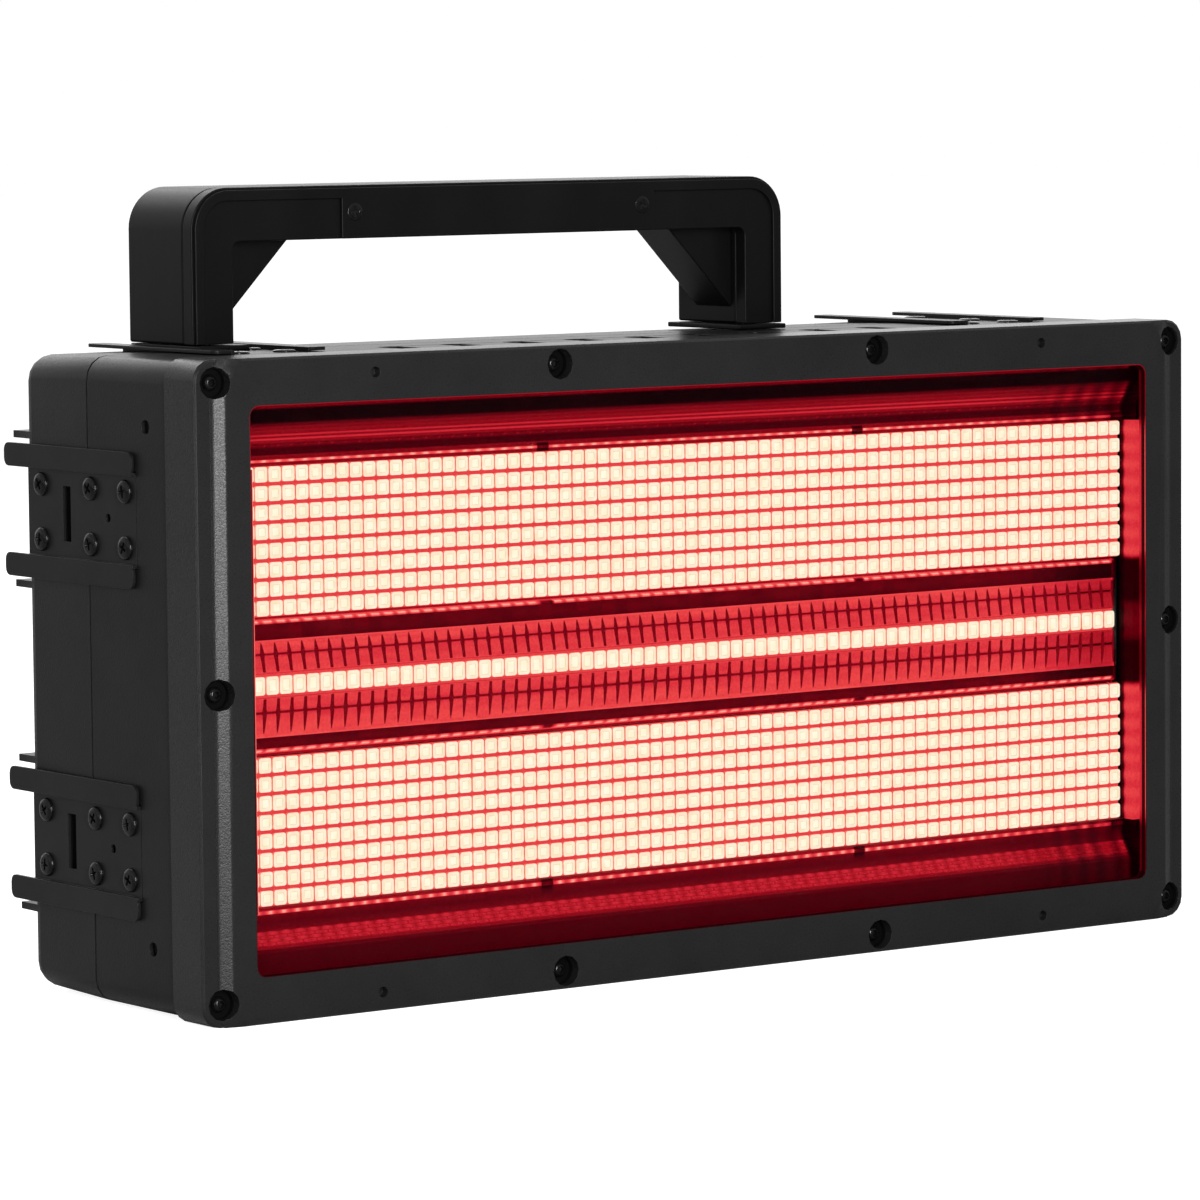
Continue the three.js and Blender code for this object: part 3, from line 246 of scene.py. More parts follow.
class Finish:
    """A material with its Principled shader and short ways to add nodes."""

    def __init__(self, name, specular=0.5, **others):
        self.material = bpy.data.materials.new(name)
        self.material.use_nodes = True
        self.material.cycles.emission_sampling = "NONE"
        tree = self.material.node_tree
        self.nodes = tree.nodes
        self.links = tree.links
        self.shader = set_inputs(self.nodes["Principled BSDF"], Specular_IOR_Level=specular, **others)
        self.coordinates = self.add("ShaderNodeTexCoord")

    def add(self, kind, **values):
        return set_inputs(self.nodes.new(kind), **values)

    def link(self, output, socket):
        self.links.new(output, self.shader.inputs[socket])

    def noise(self, size, detail=3.0, roughness=0.6, stretch=None):
        """A noise whose blotches are about size metres wide."""
        texture = self.add("ShaderNodeTexNoise", Scale=1 / size, Detail=detail, Roughness=roughness)
        source = self.coordinates.outputs["Object"]
        if stretch:
            mapping = self.add("ShaderNodeMapping", Scale=stretch)
            self.links.new(source, mapping.inputs["Vector"])
            source = mapping.outputs["Vector"]
        self.links.new(source, texture.inputs["Vector"])
        return texture.outputs["Fac"]

    def map(self, source, low, high, out_low, out_high):
        """Changes one range of values into another."""
        ends = {"From_Min": low, "From_Max": high, "To_Min": out_low, "To_Max": out_high}
        node = self.add("ShaderNodeMapRange", **ends)
        self.links.new(source, node.inputs["Value"])
        return node.outputs["Result"]

    def tint(self, source, stops, socket="Base Color"):
        """Colours one of the shader's inputs by a ramp of (place, colour) stops."""
        node = self.add("ShaderNodeValToRGB")
        elements = node.color_ramp.elements
        while len(elements) < len(stops):
            elements.new(0.5)
        for element, (place, color) in zip(elements, stops):
            element.position = place
            element.color = color
        self.links.new(source, node.inputs["Fac"])
        self.link(node.outputs["Color"], socket)

    def rough(self, source, low, high):
        """Varies the roughness between two values with a noise."""
        self.link(self.map(source, 0.3, 0.7, low, high), "Roughness")

    def grain(self, grain, **kind):
        """A noise that also gives the surface its relief."""
        size, depth = grain
        source = self.noise(size, **kind)
        node = self.add("ShaderNodeBump", Strength=1.0, Distance=depth)
        self.links.new(source, node.inputs["Height"])
        self.link(node.outputs["Normal"], "Normal")
        return source


def powder_coat(name, dark, light, grain, roughness, specular=PAINT_SPECULAR):
    """A powder coat: a fine orange-peel grain over slow changes of shade."""
    finish = Finish(name, specular=specular)
    shade = finish.noise(PAINT_CLOUD, detail=4.0)
    finish.tint(shade, [(0.3, dark), (0.7, light)])
    fine = finish.grain(grain, detail=2.0, roughness=0.5)
    finish.rough(fine, roughness - 0.05, roughness + 0.07)
    return finish.material


def moulded_plastic(name, dark, light, roughness):
    """A moulded plastic with a spark-eroded grain and faint flow marks."""
    finish = Finish(name, specular=PLASTIC_SPECULAR)
    flow = finish.noise(FLOW_MARK, stretch=(1.0, 1.0, 0.35))
    finish.tint(flow, [(0.32, dark), (0.68, light)])
    fine = finish.grain(PLASTIC_GRAIN)
    finish.rough(fine, roughness - 0.06, roughness + 0.06)
    return finish.material


def screw_steel(name):
    """Black oxide on steel: glossy with a slightly uneven sheen."""
    finish = Finish(name, specular=STEEL_SPECULAR)
    shade = finish.noise(OXIDE_CLOUD)
    finish.tint(shade, [(0.3, black(5)), (0.7, black(12))])
    finish.rough(shade, 0.12, 0.2)
    finish.grain(OXIDE_GRAIN)
    return finish.material


def brushed_metal(name, dark, light, roughness, stretch=(1.0, 1.0, 1.0)):
    """A bare or plated metal with fine lines along one direction."""
    finish = Finish(name, Metallic=1.0)
    lines = finish.grain(BRUSH_LINES, detail=4.0, stretch=stretch)
    finish.tint(lines, [(0.3, dark), (0.7, light)])
    finish.rough(lines, roughness - 0.06, roughness + 0.08)
    return finish.material


def soft_rubber(name, dark, light, specular=0.3):
    """A matt rubber with a fine dusty grain."""
    finish = Finish(name, specular=specular)
    dust = finish.noise(RUBBER_DUST, detail=5.0)
    finish.tint(dust, [(0.35, dark), (0.75, light)])
    finish.rough(dust, 0.78, 0.92)
    finish.grain(RUBBER_GRAIN)
    return finish.material


def circuit_board(name):
    """A green solder mask with darker copper areas under it."""
    finish = Finish(name)
    greens = {"Color1": srgb(22, 84, 48), "Color2": srgb(30, 98, 58), "Mortar": srgb(46, 120, 72)}
    cells = finish.add("ShaderNodeTexBrick", Scale=1 / BOARD_CELL, **greens)
    finish.links.new(finish.coordinates.outputs["Object"], cells.inputs["Vector"])
    finish.link(cells.outputs["Color"], "Base Color")
    fine = finish.noise(BOARD_GRAIN)
    finish.rough(fine, 0.32, 0.45)
    return finish.material


def glossy_plastic(name, dark, light, roughness):
    """A glossy moulded plastic with a little waviness."""
    finish = Finish(name)
    wave = finish.grain(GLOSS_WAVES, detail=2.0)
    finish.tint(wave, [(0.3, dark), (0.7, light)])
    finish.rough(wave, roughness, roughness + 0.06)
    return finish.material


def clear_lens(name):
    """A clear pane with a thin coating that keeps its reflections low."""
    finish = Finish(name, Roughness=0.0, Transmission_Weight=1.0, IOR=1.04)
    haze = finish.noise(LENS_HAZE)
    finish.tint(haze, [(0.3, (1, 0.985, 0.985, 1)), (0.7, (1, 1, 1, 1))])
    return finish.material


def lit_face(name, deep, full, size=LED_CLOUD):
    """A face that shines by itself, in a slightly different shade from LED to LED."""
    finish = Finish(name, 0.05, Roughness=0.45, Base_Color=srgb(30, 20, 16), Emission_Strength=1.0)
    shade = finish.noise(size, detail=1.0)
    finish.tint(shade, [(0.35, deep), (0.65, full)], "Emission Color")
    return finish.material


# What a surface with the LEDs' red light painted on looks like, from unlit to a painted reflection where it
# mirrors an LED
RED_STOPS = [
    (0.0, srgb(5, 0, 1)),
    (0.15, srgb(46, 0, 4)),
    (0.3, srgb(92, 0, 11)),
    (0.5, srgb(158, 9, 25)),
    (0.7, srgb(214, 41, 56)),
    (0.85, srgb(244, 78, 76)),
    (0.93, srgb(250, 112, 106)),
    (1.0, srgb(255, 176, 156)),
]


def red_glow(name):
    """Glossy plastic with the LEDs' red light painted on as emission: each point's painted glow says how much
    of that light reaches it.
    """
    finish = Finish(name, 0.02, Roughness=0.4, Base_Color=srgb(6, 1, 1), Emission_Strength=1.0)
    glow = finish.add("ShaderNodeAttribute")
    glow.attribute_name = "glow"
    speckle = finish.map(finish.noise(GLOW_SPECKLE, detail=4.0), 0.3, 0.7, -0.035, 0.035)
    total = finish.add("ShaderNodeMath")
    finish.links.new(glow.outputs["Fac"], total.inputs[0])
    finish.links.new(speckle, total.inputs[1])
    finish.tint(total.outputs["Value"], RED_STOPS, "Emission Color")
    return finish.material


def make_finishes():
    upright = (1.0, 1.0, 0.05)
    along = (0.05, 1.0, 1.0)
    broad = (0.12, 1.0, 1.0)
    return {
        "housing_paint": powder_coat("housing_powder_coat", black(15), black(21), HOUSING_GRAIN, 0.36),
        "bezel_paint": powder_coat(
            "bezel_powder_coat", black(17), black(22), BEZEL_GRAIN, 0.3, BEZEL_SPECULAR),
        "bracket_paint": powder_coat("bracket_satin_paint", black(15), black(21), BRACKET_GRAIN, 0.33),
        "handle_plastic": moulded_plastic("handle_plastic", black(7), black(12), 0.36),
        "seam": soft_rubber("seam_rubber", black(9), black(15)),
        "screw_black": screw_steel("screw_black_oxide"),
        # A near-black sheet that paints the shade in the bezel screws' counterbores
        "bore_shade": soft_rubber("painted_bore_shade", srgb(3, 3, 3), srgb(6, 6, 6), 0.04),
        "seal_rubber": soft_rubber("seal_foam_rubber", srgb(16, 16, 16), black(26)),
        "foot_rubber": soft_rubber("foot_rubber", srgb(18, 18, 18), black(32)),
        "button_grey": soft_rubber("button_rubber", srgb(62, 63, 66), srgb(76, 78, 82)),
        "bare_aluminium": brushed_metal(
            "bare_aluminium", srgb(150, 152, 155), srgb(186, 188, 190), 0.38, upright),
        "supply_steel": brushed_metal("zinc_sheet", srgb(140, 142, 146), srgb(176, 178, 182), 0.42, along),
        "data_nickel": brushed_metal("satin_nickel", srgb(126, 128, 132), srgb(146, 148, 152), 0.32, broad),
        "guard_steel": brushed_metal("black_coated_wire", srgb(26, 26, 28), srgb(38, 38, 40), 0.35),
        "circuit_green": circuit_board("green_solder_mask"),
        "fan_plastic": moulded_plastic("fan_plastic", srgb(22, 22, 22), black(30), 0.5),
        "power_blue": glossy_plastic("blue_socket_plastic", srgb(24, 78, 158), srgb(32, 92, 178), 0.3),
        "power_grey": glossy_plastic("grey_socket_plastic", srgb(142, 147, 150), srgb(158, 162, 165), 0.3),
        "display_glass": glossy_plastic("display_window", srgb(8, 18, 30), srgb(14, 26, 40), 0.06),
        "lens_clear": clear_lens("clear_lens"),
        # The LEDs' red light and reflections, painted on as emission
        "red": red_glow("red_painted_light"),
        "led_wall": lit_face("led_wall", srgb(232, 104, 88), srgb(244, 150, 122)),
        "led_rim": lit_face("led_rim", srgb(253, 228, 198), srgb(255, 239, 214)),
        "led_ring": lit_face("led_ring", srgb(236, 221, 182), srgb(246, 233, 197), RING_CLOUD),
        "led_core": lit_face("led_core", srgb(255, 243, 212), srgb(255, 250, 226)),
    }


finishes = make_finishes()


# Mesh code

def add_object(name, data):
    """A new object in the scene."""
    built = bpy.data.objects.new(name, data)
    bpy.context.scene.collection.objects.link(built)
    return built


class Form:
    """Points with their glow and faces with their paint number, gathered for one mesh."""

    def __init__(self):
        self.points = []
        self.glow = []
        self.faces = []
        self.paint = []

    def ring(self, points, glow=0.0):
        """Adds a row of points and returns their numbers; glow is one value or one for each point."""
        start = len(self.points)
        self.points.extend(points)
        self.glow.extend(glow if hasattr(glow, "__len__") else [glow] * len(points))
        return list(range(start, start + len(points)))

    def face(self, numbers, paint=0):
        self.faces.append(tuple(numbers))
        self.paint.append(paint)

    def bridge(self, low, high, paint=0, closed=True):
        """Quads between two rows with as many points."""
        count = len(low)
        for place in range(count if closed else count - 1):
            after = (place + 1) % count
            self.face((low[place], low[after], high[after], high[place]), paint)

    def box(self, low, high, glow=0.0):
        """A closed block between two corners."""
        flat = [(low[0], low[1]), (high[0], low[1]), (high[0], high[1]), (low[0], high[1])]
        below, above = [self.ring([(x, y, z) for x, y in flat], glow) for z in (low[2], high[2])]
        self.face(reversed(below))
        self.bridge(below, above)
        self.face(above)

    def loop(self, rows, paint=0, closed=True):
        """Joins each row of points to the next, and the last back to the first."""
        for low, high in zip(rows, rows[1:] + rows[:1]):
            self.bridge(low, high, paint, closed)

    def tube(self, rows):
        """Joins open rows of points all round, and closes both ends."""
        self.loop(rows, closed=False)
        self.face([row[0] for row in rows])
        self.face([row[-1] for row in reversed(rows)])

    def piece(self, name, *looks, smooth=SMOOTH_ANGLE):
        """Makes the mesh object, with its normals outwards, and lets it ride on the housing."""
        mesh = bpy.data.meshes.new(name)
        mesh.from_pydata([tuple(point) for point in self.points], [], self.faces)
        attribute = mesh.attributes.new("glow", "FLOAT", "POINT")
        attribute.data.foreach_set("value", self.glow)
        for look in looks:
            mesh.materials.append(finishes[look])
        mesh.polygons.foreach_set("material_index", self.paint)
        outward = bmesh.new()
        outward.from_mesh(mesh)
        bmesh.ops.recalc_face_normals(outward, faces=outward.faces)
        outward.to_mesh(mesh)
        outward.free()
        mesh.shade_smooth()
        mesh.set_sharp_from_angle(angle=smooth)
        built = add_object(name, mesh)
        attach(built, "chassis")
        return built


def arc(middle_x, middle_z, radius, start, steps):
    """Points of a quarter round in a plane of X and Z."""
    angles = [start + step / steps * math.pi / 2 for step in range(steps + 1)]
    return [(middle_x + radius * math.cos(a), middle_z + radius * math.sin(a)) for a in angles]


def rounded(half_x, half_z, radius, steps, x, z):
    """The outline of a rounded rectangle about (x, z), from the right end over the top."""
    points = []
    for quarter, (sx, sz) in enumerate([(1, 1), (-1, 1), (-1, -1), (1, -1)]):
        middle = (x + sx * (half_x - radius), z + sz * (half_z - radius))
        points += arc(*middle, radius, quarter * math.pi / 2, steps)
    return points


def wall_rounded(half_x, half_z, radius):
    """A rounded rectangle about the field's middle, with even places along its upright sides."""
    corners = rounded(half_x, half_z, radius, WINDOW_STEPS, 0.0, FIELD_MIDDLE)
    quarter = WINDOW_STEPS + 1
    points = []
    for place in range(4):
        points += corners[place * quarter:(place + 1) * quarter]
        if place in (1, 3):
            x, start = points[-1]
            end = corners[((place + 1) * quarter) % len(corners)][1]
            points += [(x, start + step / WALL_STEPS * (end - start)) for step in range(1, WALL_STEPS)]
    return points


def at_depth(outline, y):
    return [(px, y, pz) for px, pz in outline]


# Light field

def add_led(form, x, z, face_y, tall):
    """One square LED package: its walls, a rim, and a shallow well over the chip."""
    rings = []
    well = (LED_RIM + LED_WELL, LED_WELL_DEPTH)
    for inset, depth in ((0.0, LED_RISE), (0.0, LED_EDGE), (LED_EDGE, 0.0), (LED_RIM, 0.0), well):
        radius = max(LED_CORNER - inset / 2, LED_EDGE)
        outline = rounded(LED_WIDTH / 2 - inset, tall / 2 - inset, radius, LED_STEPS, x, z)
        rings.append(form.ring(at_depth(outline, face_y + depth)))
    for place, paint in enumerate([1, 2, 2, 3]):
        form.bridge(rings[place], rings[place + 1], paint)
    form.face(rings[-1], 4)


def make_led_panel(node, rows, tall=LED_TALL):
    """A board with its rows of LED packages, in place of the plain board with strips."""
    low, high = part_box(node)
    form = Form()
    front = low.y + LED_RISE
    # The board's face is a thin skin with the LEDs' red light painted on
    form.box((low.x, front, low.z), (high.x, front + LIT_SKIN, high.z), BOARD_GLOW)
    form.box((low.x, front + LIT_SKIN, low.z), (high.x, high.y, high.z))
    for row in range(rows):
        z = (low.z + high.z) / 2 + (row - (rows - 1) / 2) * ROW_PITCH
        for column in range(LED_COLUMNS):
            x = (column - (LED_COLUMNS - 1) / 2) * LED_PITCH
            add_led(form, x, z, low.y, tall)
    panel = form.piece(node + "_lit", "red", "led_wall", "led_rim", "led_ring", "led_core")
    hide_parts(node)


def phase(x):
    """0 or 1 between two LED columns, 0.5 at the middle of a column."""
    return (x / LED_PITCH) % 1.0


def beat(share, low, high):
    """Rises from low between two LEDs to high at an LED's middle."""
    return low + (high - low) * (0.5 - 0.5 * math.cos(2 * math.pi * share))


def ease(value, start, end):
    """0 before start, 1 after end, and smooth between them."""
    share = min(max((value - start) / (end - start), 0.0), 1.0)
    return share * share * (3 - 2 * share)


def clip_shade(x):
    """Paints shade on the lit beads where a clip crosses them."""
    column = (x + FIELD_HALF) / LED_PITCH - 0.5
    near = min(abs(column - clip) for clip in CLIP_COLUMNS)
    return CLIP_SHADE if near < CLIP_HALF else 1.0


def strip_places(half, steps):
    """Even places along X over the whole field, with both ends of the part."""
    count = LED_COLUMNS * steps
    inner = [-FIELD_HALF + 2 * FIELD_HALF * place / count for place in range(count + 1)]
    return [-half] + inner + [half]


def frame_depth(height):
    """How far back the frame's face lies at a height from the field's middle."""
    share = (height - FRAME_SLOPE_START) / (FRAME_SLOPE_END - FRAME_SLOPE_START)
    return FRAME_SHELF + (FRAME_FRONT - FRAME_SHELF) * min(max(share, 0.0), 1.0)


# Painted highlights that rise to high at each LED column's middle
def dashes(low, high):
    return lambda x: beat(phase(x), low, high)


def ticks(level, bright):
    """A level of painted light with a short painted highlight at each column's middle."""
    return lambda x: bright if abs(phase(x) - 0.5) < 0.06 else level


# From the field outwards: start and end height in mm, painted glow at the ends and in the middle, and how
# proud in mm
UPPER_LINES = [
    (72.4, 73.35, 0.42, 0.42, 0),
    (73.45, 74.25, dashes(0.82, 0.98), dashes(0.84, 1.0), 0.35),
    (74.35, 75.6, 0.42, 0.38, 0),
    (75.9, 77.9, 0.2, 0.2, 0),
    (78.3, 79.5, 0.3, ticks(0.36, 0.6), 0.1),
    (79.7, 80.5, 0.4, 0.46, 0),
    (80.7, 81.3, 0.62, 0.68, 0.2),
    (81.5, 81.9, 0.4, 0.4, 0),
    (82.1, 82.6, 0.6, 0.65, 0.2),
    (82.8, 83.4, 0.4, 0.4, 0),
    (83.6, 84.0, 0.44, 0.44, 0.1),
    (84.2, 84.7, 0.37, 0.37, 0),
    (84.9, 85.2, 0.4, 0.4, 0.1),
    (85.4, 86.0, 0.32, 0.26, 0),
    (86.8, 90.8, 0.02, 0.0, 0),
    (91.4, 95.9, 0.34, 0.34, 0),
]
LOWER_LINES = [
    (72.4, 73.1, 0.45, 0.45, 0),
    (73.2, 74.3, dashes(0.68, 0.98), dashes(0.72, 1.0), 0.35),
    (74.5, 79.7, 0.34, 0.28, 0),
    (84.25, 85.1, 0.44, 0.4, 0),
    (85.2, 86.2, 0.3, 0.26, 0),
    (86.5, 95.9, 0.22, 0.2, 0),
]
BRICK_START = 79.9 * MM
BRICK_ROWS = 4
BRICK_PITCH = 1.06 * MM
BRICK_SHARES = (0.04, 0.22, 0.5, 0.78, 0.96)
BRICK_GLOW = 0.64
BRICK_DROP = 0.1
BRICK_GAP_GLOW = 0.46
BRICK_RISE = 0.3 * MM
LIT_GAP = 0.06 * MM


def brick_glow(row, share):
    """Painted light on one row of lens-shaped bricks, every other row moved along by half a brick."""
    def glow(x):
        along = (phase(x) + 0.5 * (row % 2)) % 1.0
        reach = 0.5 * math.sqrt(max(1 - (2 * along - 1) ** 2, 0.0)) + 0.02
        inside = abs(share - 0.5) < reach and 0.05 < along < 0.95
        return beat(phase(x), BRICK_GLOW - BRICK_DROP, BRICK_GLOW) if inside else BRICK_GAP_GLOW
    return glow


def band_stations(lines, bricks):
    """Heights from the field's middle, each with its painted glow and how proud it stands."""
    stations = [(FRAME_SHELF_START, 0.3, 0.0)]
    for start, end, edge, middle, proud in lines:
        stations.append((start * MM + LIT_GAP, edge, proud * MM))
        stations.append(((start + end) / 2 * MM, middle, proud * MM))
        stations.append((end * MM - LIT_GAP, edge, proud * MM))
    if bricks:
        for row in range(BRICK_ROWS):
            for share in BRICK_SHARES:
                height = BRICK_START + (row + share) * BRICK_PITCH
                proud = BRICK_RISE * (1 - (2 * share - 1) ** 2)
                stations.append((height, brick_glow(row, share), proud))
    return sorted(stations, key=lambda station: station[0])


def field_fade(x):
    """The light falls off towards the field's ends, and breaks into blotches on the right."""
    right = 1.0 - 0.25 * ease(x, *FADE_RIGHT) - 0.75 * ease(x, *FADE_END)
    blotch = 0.15 * ease(x, *FADE_BLOTCH) * math.sin(2 * math.pi * x / (1.6 * LED_PITCH))
    return max(right + blotch, 0.0) - 0.1 * ease(-x, *FADE_LEFT)


def add_frame_band(form, side, lines, bricks):
    """The frame above (side 1) or below (side -1) the field, with its ridges of painted light."""
    places = strip_places(FRAME_HALF_WIDTH, STRIP_STEPS)
    rows = []
    for height, glow, proud in band_stations(lines, bricks):
        depth = max(frame_depth(height) - proud, FRAME_FRONT)
        z = FIELD_MIDDLE + side * height
        beside = height < CLIP_REACH
        levels = []
        for x in places:
            level = glow(x) if callable(glow) else glow
            levels.append(level * field_fade(x) * (clip_shade(x) if beside else 1.0))
        rows.append(form.ring([(x, depth, z) for x in places], levels))
    for height, glow in ((FRAME_HALF_HEIGHT, 0.0), (FRAME_SHELF_START, 0.5)):
        z = FIELD_MIDDLE + side * height
        rows.append(form.ring([(x, FRAME_BACK, z) for x in places], glow))
    form.tube(rows)


def wall_glow(z, level):
    """The end wall is painted lit beside the LED panels and painted dark beside the trough, but for a faint
    painted patch of light.
    """
    height = abs(z - FIELD_MIDDLE)
    lit = ease(height, *WALL_LIT)
    patch = 0.14 + 0.28 * (1 - ease(height, *WALL_PATCH))
    return level * max(lit, patch)


def scallop(z, low, high):
    """Rises to high beside each LED row."""
    return beat(((abs(z - FIELD_MIDDLE) - TROUGH_HALF) / ROW_PITCH) % 1.0, low, high)


# The frame's end from its opening outwards: distance from the middle, depth, painted glow between and beside
# LEDs
FRAME_END = [
    (FRAME_OPENING, FRAME_BACK, 0.1, 0.1),
    (FRAME_OPENING, -47.3 * MM, 0.12, 0.4),
    (FRAME_OPENING, -48.0 * MM, 0.5, 0.78),
    (FRAME_OPENING, -48.8 * MM, 0.7, 0.78),
    (FRAME_OPENING, FRAME_FRONT, 0.72, 0.78),
    (FRAME_OPENING + 3.4 * MM, FRAME_FRONT, 0.7, 0.76),
    (FRAME_OPENING + 3.8 * MM, FRAME_FRONT, 0.2, 0.2),
    (FRAME_HALF_WIDTH, FRAME_FRONT, 0.15, 0.15),
    (FRAME_HALF_WIDTH, FRAME_BACK, 0.0, 0.0),
]


def add_frame_end(form, side):
    """The frame beside the field on the right (side 1) or left (side -1)."""
    span = 2 * FRAME_SHELF_START
    heights = [-FRAME_SHELF_START + span * place / END_STEPS for place in range(END_STEPS + 1)]
    zs = [FIELD_MIDDLE + height for height in heights]
    rows = []
    for x, y, low, high in FRAME_END:
        glow = [wall_glow(z, scallop(z, low, high)) for z in zs]
        rows.append(form.ring([(side * x, y, z) for z in zs], glow))
    form.tube(rows)


def make_inner_frame():
    """The frame round the LEDs, with their red light painted on in fine ridges above and below."""
    form = Form()
    add_frame_band(form, 1, UPPER_LINES, False)
    add_frame_band(form, -1, LOWER_LINES, True)
    add_frame_end(form, 1)
    add_frame_end(form, -1)
    built = form.piece("inner_frame_lit", "red")
    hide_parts("inner_frame")


# The LEDs' light and reflections are painted on the trough as glow
# From the trough's edge to the centre row: height and depth in mm, glow between the grooves,
# half the groove's width in mm, and how much the cell bulges
TROUGH_STATIONS = [
    (22.85, -42.7, 0.5, 0, 0),
    (22.1, -42.9, 0.48, 0, 0),
    (21.9, -43.6, 0.8, 0, 0),
    (21.2, -44.1, 1.03, 0, 0),
    (20.5, -44.25, 0.8, 0, 0),
    (20.3, -44.1, 0.3, 0, 0),
    (18.6, -44.1, 0.31, 0, 0),
    (16.95, -44.1, 0.26, 0, 0),
    (16.8, -43.85, 0.86, 0, 0),
    (16.4, -43.75, 0.8, 0, 0),
    (15.9, -43.7, 0.78, 0.0, 0.1),
    (15.6, -43.7, 0.79, 0.12, 0.3),
    (14.4, -43.6, 0.78, 0.34, 0.7),
    (13.2, -43.5, 0.77, 0.48, 1.0),
    (11.8, -43.4, 0.75, 0.64, 0.7),
    (10.9, -43.2, 0.7, 0.8, 0.1),
    (10.7, -43.1, 0.38, 0.8, 0),
    (10.15, -43.1, 0.38, 0.8, 0),
    (9.9, -43.1, 0.7, 0.82, 0.1),
    (9.0, -43.0, 0.74, 0.66, 0.8),
    (7.4, -42.95, 0.74, 0.54, 1.0),
    (5.8, -42.9, 0.75, 0.5, 0.8),
    (4.6, -42.85, 0.76, 0.5, 0.1),
    (4.3, -42.8, 0.78, 0, 0),
    (3.92, -42.7, 0.6, 0, 0),
]
# Where the bead, the ledge and the crease lie in the table, and where the grooves turn, in mm
TABLE_BEAD = (20.4, 21.9)
TABLE_SLOPE = 20.3
TABLE_LEDGE = 16.8
TABLE_CREASE = 10.4
GROOVE_START = 3.9
GROOVE_TURN = 10.35
GROOVE_GLOW = 0.37
GROOVE_EDGE = 0.12 * MM
CELL_SHARES = (0.28, 0.5, 0.72)
DASH_DROP = 0.24
LEAST_STEP = 0.002 * MM


def groove_shift(height, lean):
    """How far the grooves lean to the left from the centre row to the ledge."""
    near, crease, far = lean
    if height < GROOVE_TURN:
        return (near + (crease - near) * (height - GROOVE_START) / (GROOVE_TURN - GROOVE_START)) * MM
    share = (height - GROOVE_TURN) / (TABLE_LEDGE - GROOVE_TURN)
    return (crease + (far - crease) * min(share, 1.0)) * MM


def reflector_row(height, level, half_groove, bulge, lean, lively):
    """Places along X with their painted glow and bulge for one height of the reflector."""
    row = []
    shift = groove_shift(height, lean)
    groove = half_groove * MM
    dashed = TABLE_BEAD[0] < height < TABLE_BEAD[1]
    for column in range(LED_COLUMNS):
        start = -FIELD_HALF + column * LED_PITCH + shift
        cell = level + lively.uniform(-0.03, 0.03) - 0.2 * ease(column, *FADE_COLUMNS)
        if dashed:
            cell = level - DASH_DROP
        dark = GROOVE_GLOW if groove else cell
        width = LED_PITCH - 2 * groove
        row.append((start, dark, 0.0))
        row.append((start + groove + GROOVE_EDGE / 2, dark, 0.0))
        row.append((start + groove + GROOVE_EDGE, cell, 0.0))
        for share in CELL_SHARES:
            rise = bulge * CELL_BULGE * (1 - (2 * share - 1) ** 2)
            bright = level if dashed else cell
            row.append((start + groove + share * width, bright, rise))
        row.append((start + LED_PITCH - groove - GROOVE_EDGE, cell, 0.0))
        row.append((start + LED_PITCH - groove - GROOVE_EDGE / 2, dark, 0.0))
    end = FIELD_HALF + shift
    row.append((end, GROOVE_GLOW if groove else level, 0.0))
    row.append((max(end, REFLECTOR_HALF_WIDTH) + GROOVE_EDGE, 0.0, 0.0))
    # Painted shade where a clip crosses the bead
    if dashed:
        row = [(x, glow * clip_shade(x - CLIP_ASIDE), rise) for x, glow, rise in row]
    row[0] = (row[0][0], 0.0, 0.0)
    row[-1] = (row[-1][0], 0.0, 0.0)
    last = len(row) - 1
    kept = []
    for place, (x, glow, rise) in enumerate(row):
        low = -REFLECTOR_HALF_WIDTH + place * LEAST_STEP
        high = REFLECTOR_HALF_WIDTH - (last - place) * LEAST_STEP
        kept.append((min(max(x, low), high), glow, rise))
    return kept


def fit_height(height, ledge, crease):
    """Moves a height of the table to where this half has its ledge and crease."""
    marks = [
        (TROUGH_STATIONS[0][0], TROUGH_STATIONS[0][0]),
        (TABLE_SLOPE, TABLE_SLOPE),
        (TABLE_LEDGE, ledge),
        (TABLE_CREASE, crease),
        (TROUGH_STATIONS[-1][0], TROUGH_STATIONS[-1][0]),
    ]
    for (high, high_fit), (low, low_fit) in zip(marks, marks[1:]):
        if height >= low:
            return low_fit + (high_fit - low_fit) * (height - low) / (high - low)
    return height


def make_reflector(node, side, lean, ledge, crease):
    """Half of the centre trough, with the LEDs' light and reflections painted on: a bright bead, a dark
    ledge, then two facets of lit cells.
    """
    form = Form()
    lively = random.Random(len(node))
    rows = []
    for height, depth, level, half_groove, bulge in TROUGH_STATIONS:
        row = reflector_row(height, level, half_groove, bulge, lean, lively)
        z = FIELD_MIDDLE + side * fit_height(height, ledge, crease) * MM
        points = [(x, depth * MM - rise, z) for x, _, rise in row]
        rows.append(form.ring(points, [glow for _, glow, _ in row]))
    for place in (-1, 0):
        points = [form.points[number] for number in rows[place]]
        rows.append(form.ring([(x, REFLECTOR_BACK, z) for x, _, z in points]))
    form.tube(rows)
    built = form.piece(node + "_lit", "red")
    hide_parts(node)


# The lining sheet's painted light from the rear to its front: depth and painted glow
LINING_PAINTED_LIGHT = [
    (WINDOW_REAR, 0.7),
    (-58.2 * MM, 0.66),
    (-58.4 * MM, 0.2),
    (-60.0 * MM, 0.12),
    (-60.12 * MM, 0.9),
    (WINDOW_FRONT, 0.9),
]
# The painted highlight at the window's left end: distance from the window's wall in mm and glow
LIT_EDGE = [(0.3, 0.1), (0.62, 0.15), (0.7, 0.9), (1.0, 0.92)]
LIT_EDGE_SUNK = 0.1 * MM
LIT_EDGE_BACK = 0.4 * MM
LIT_EDGE_STEPS = 40


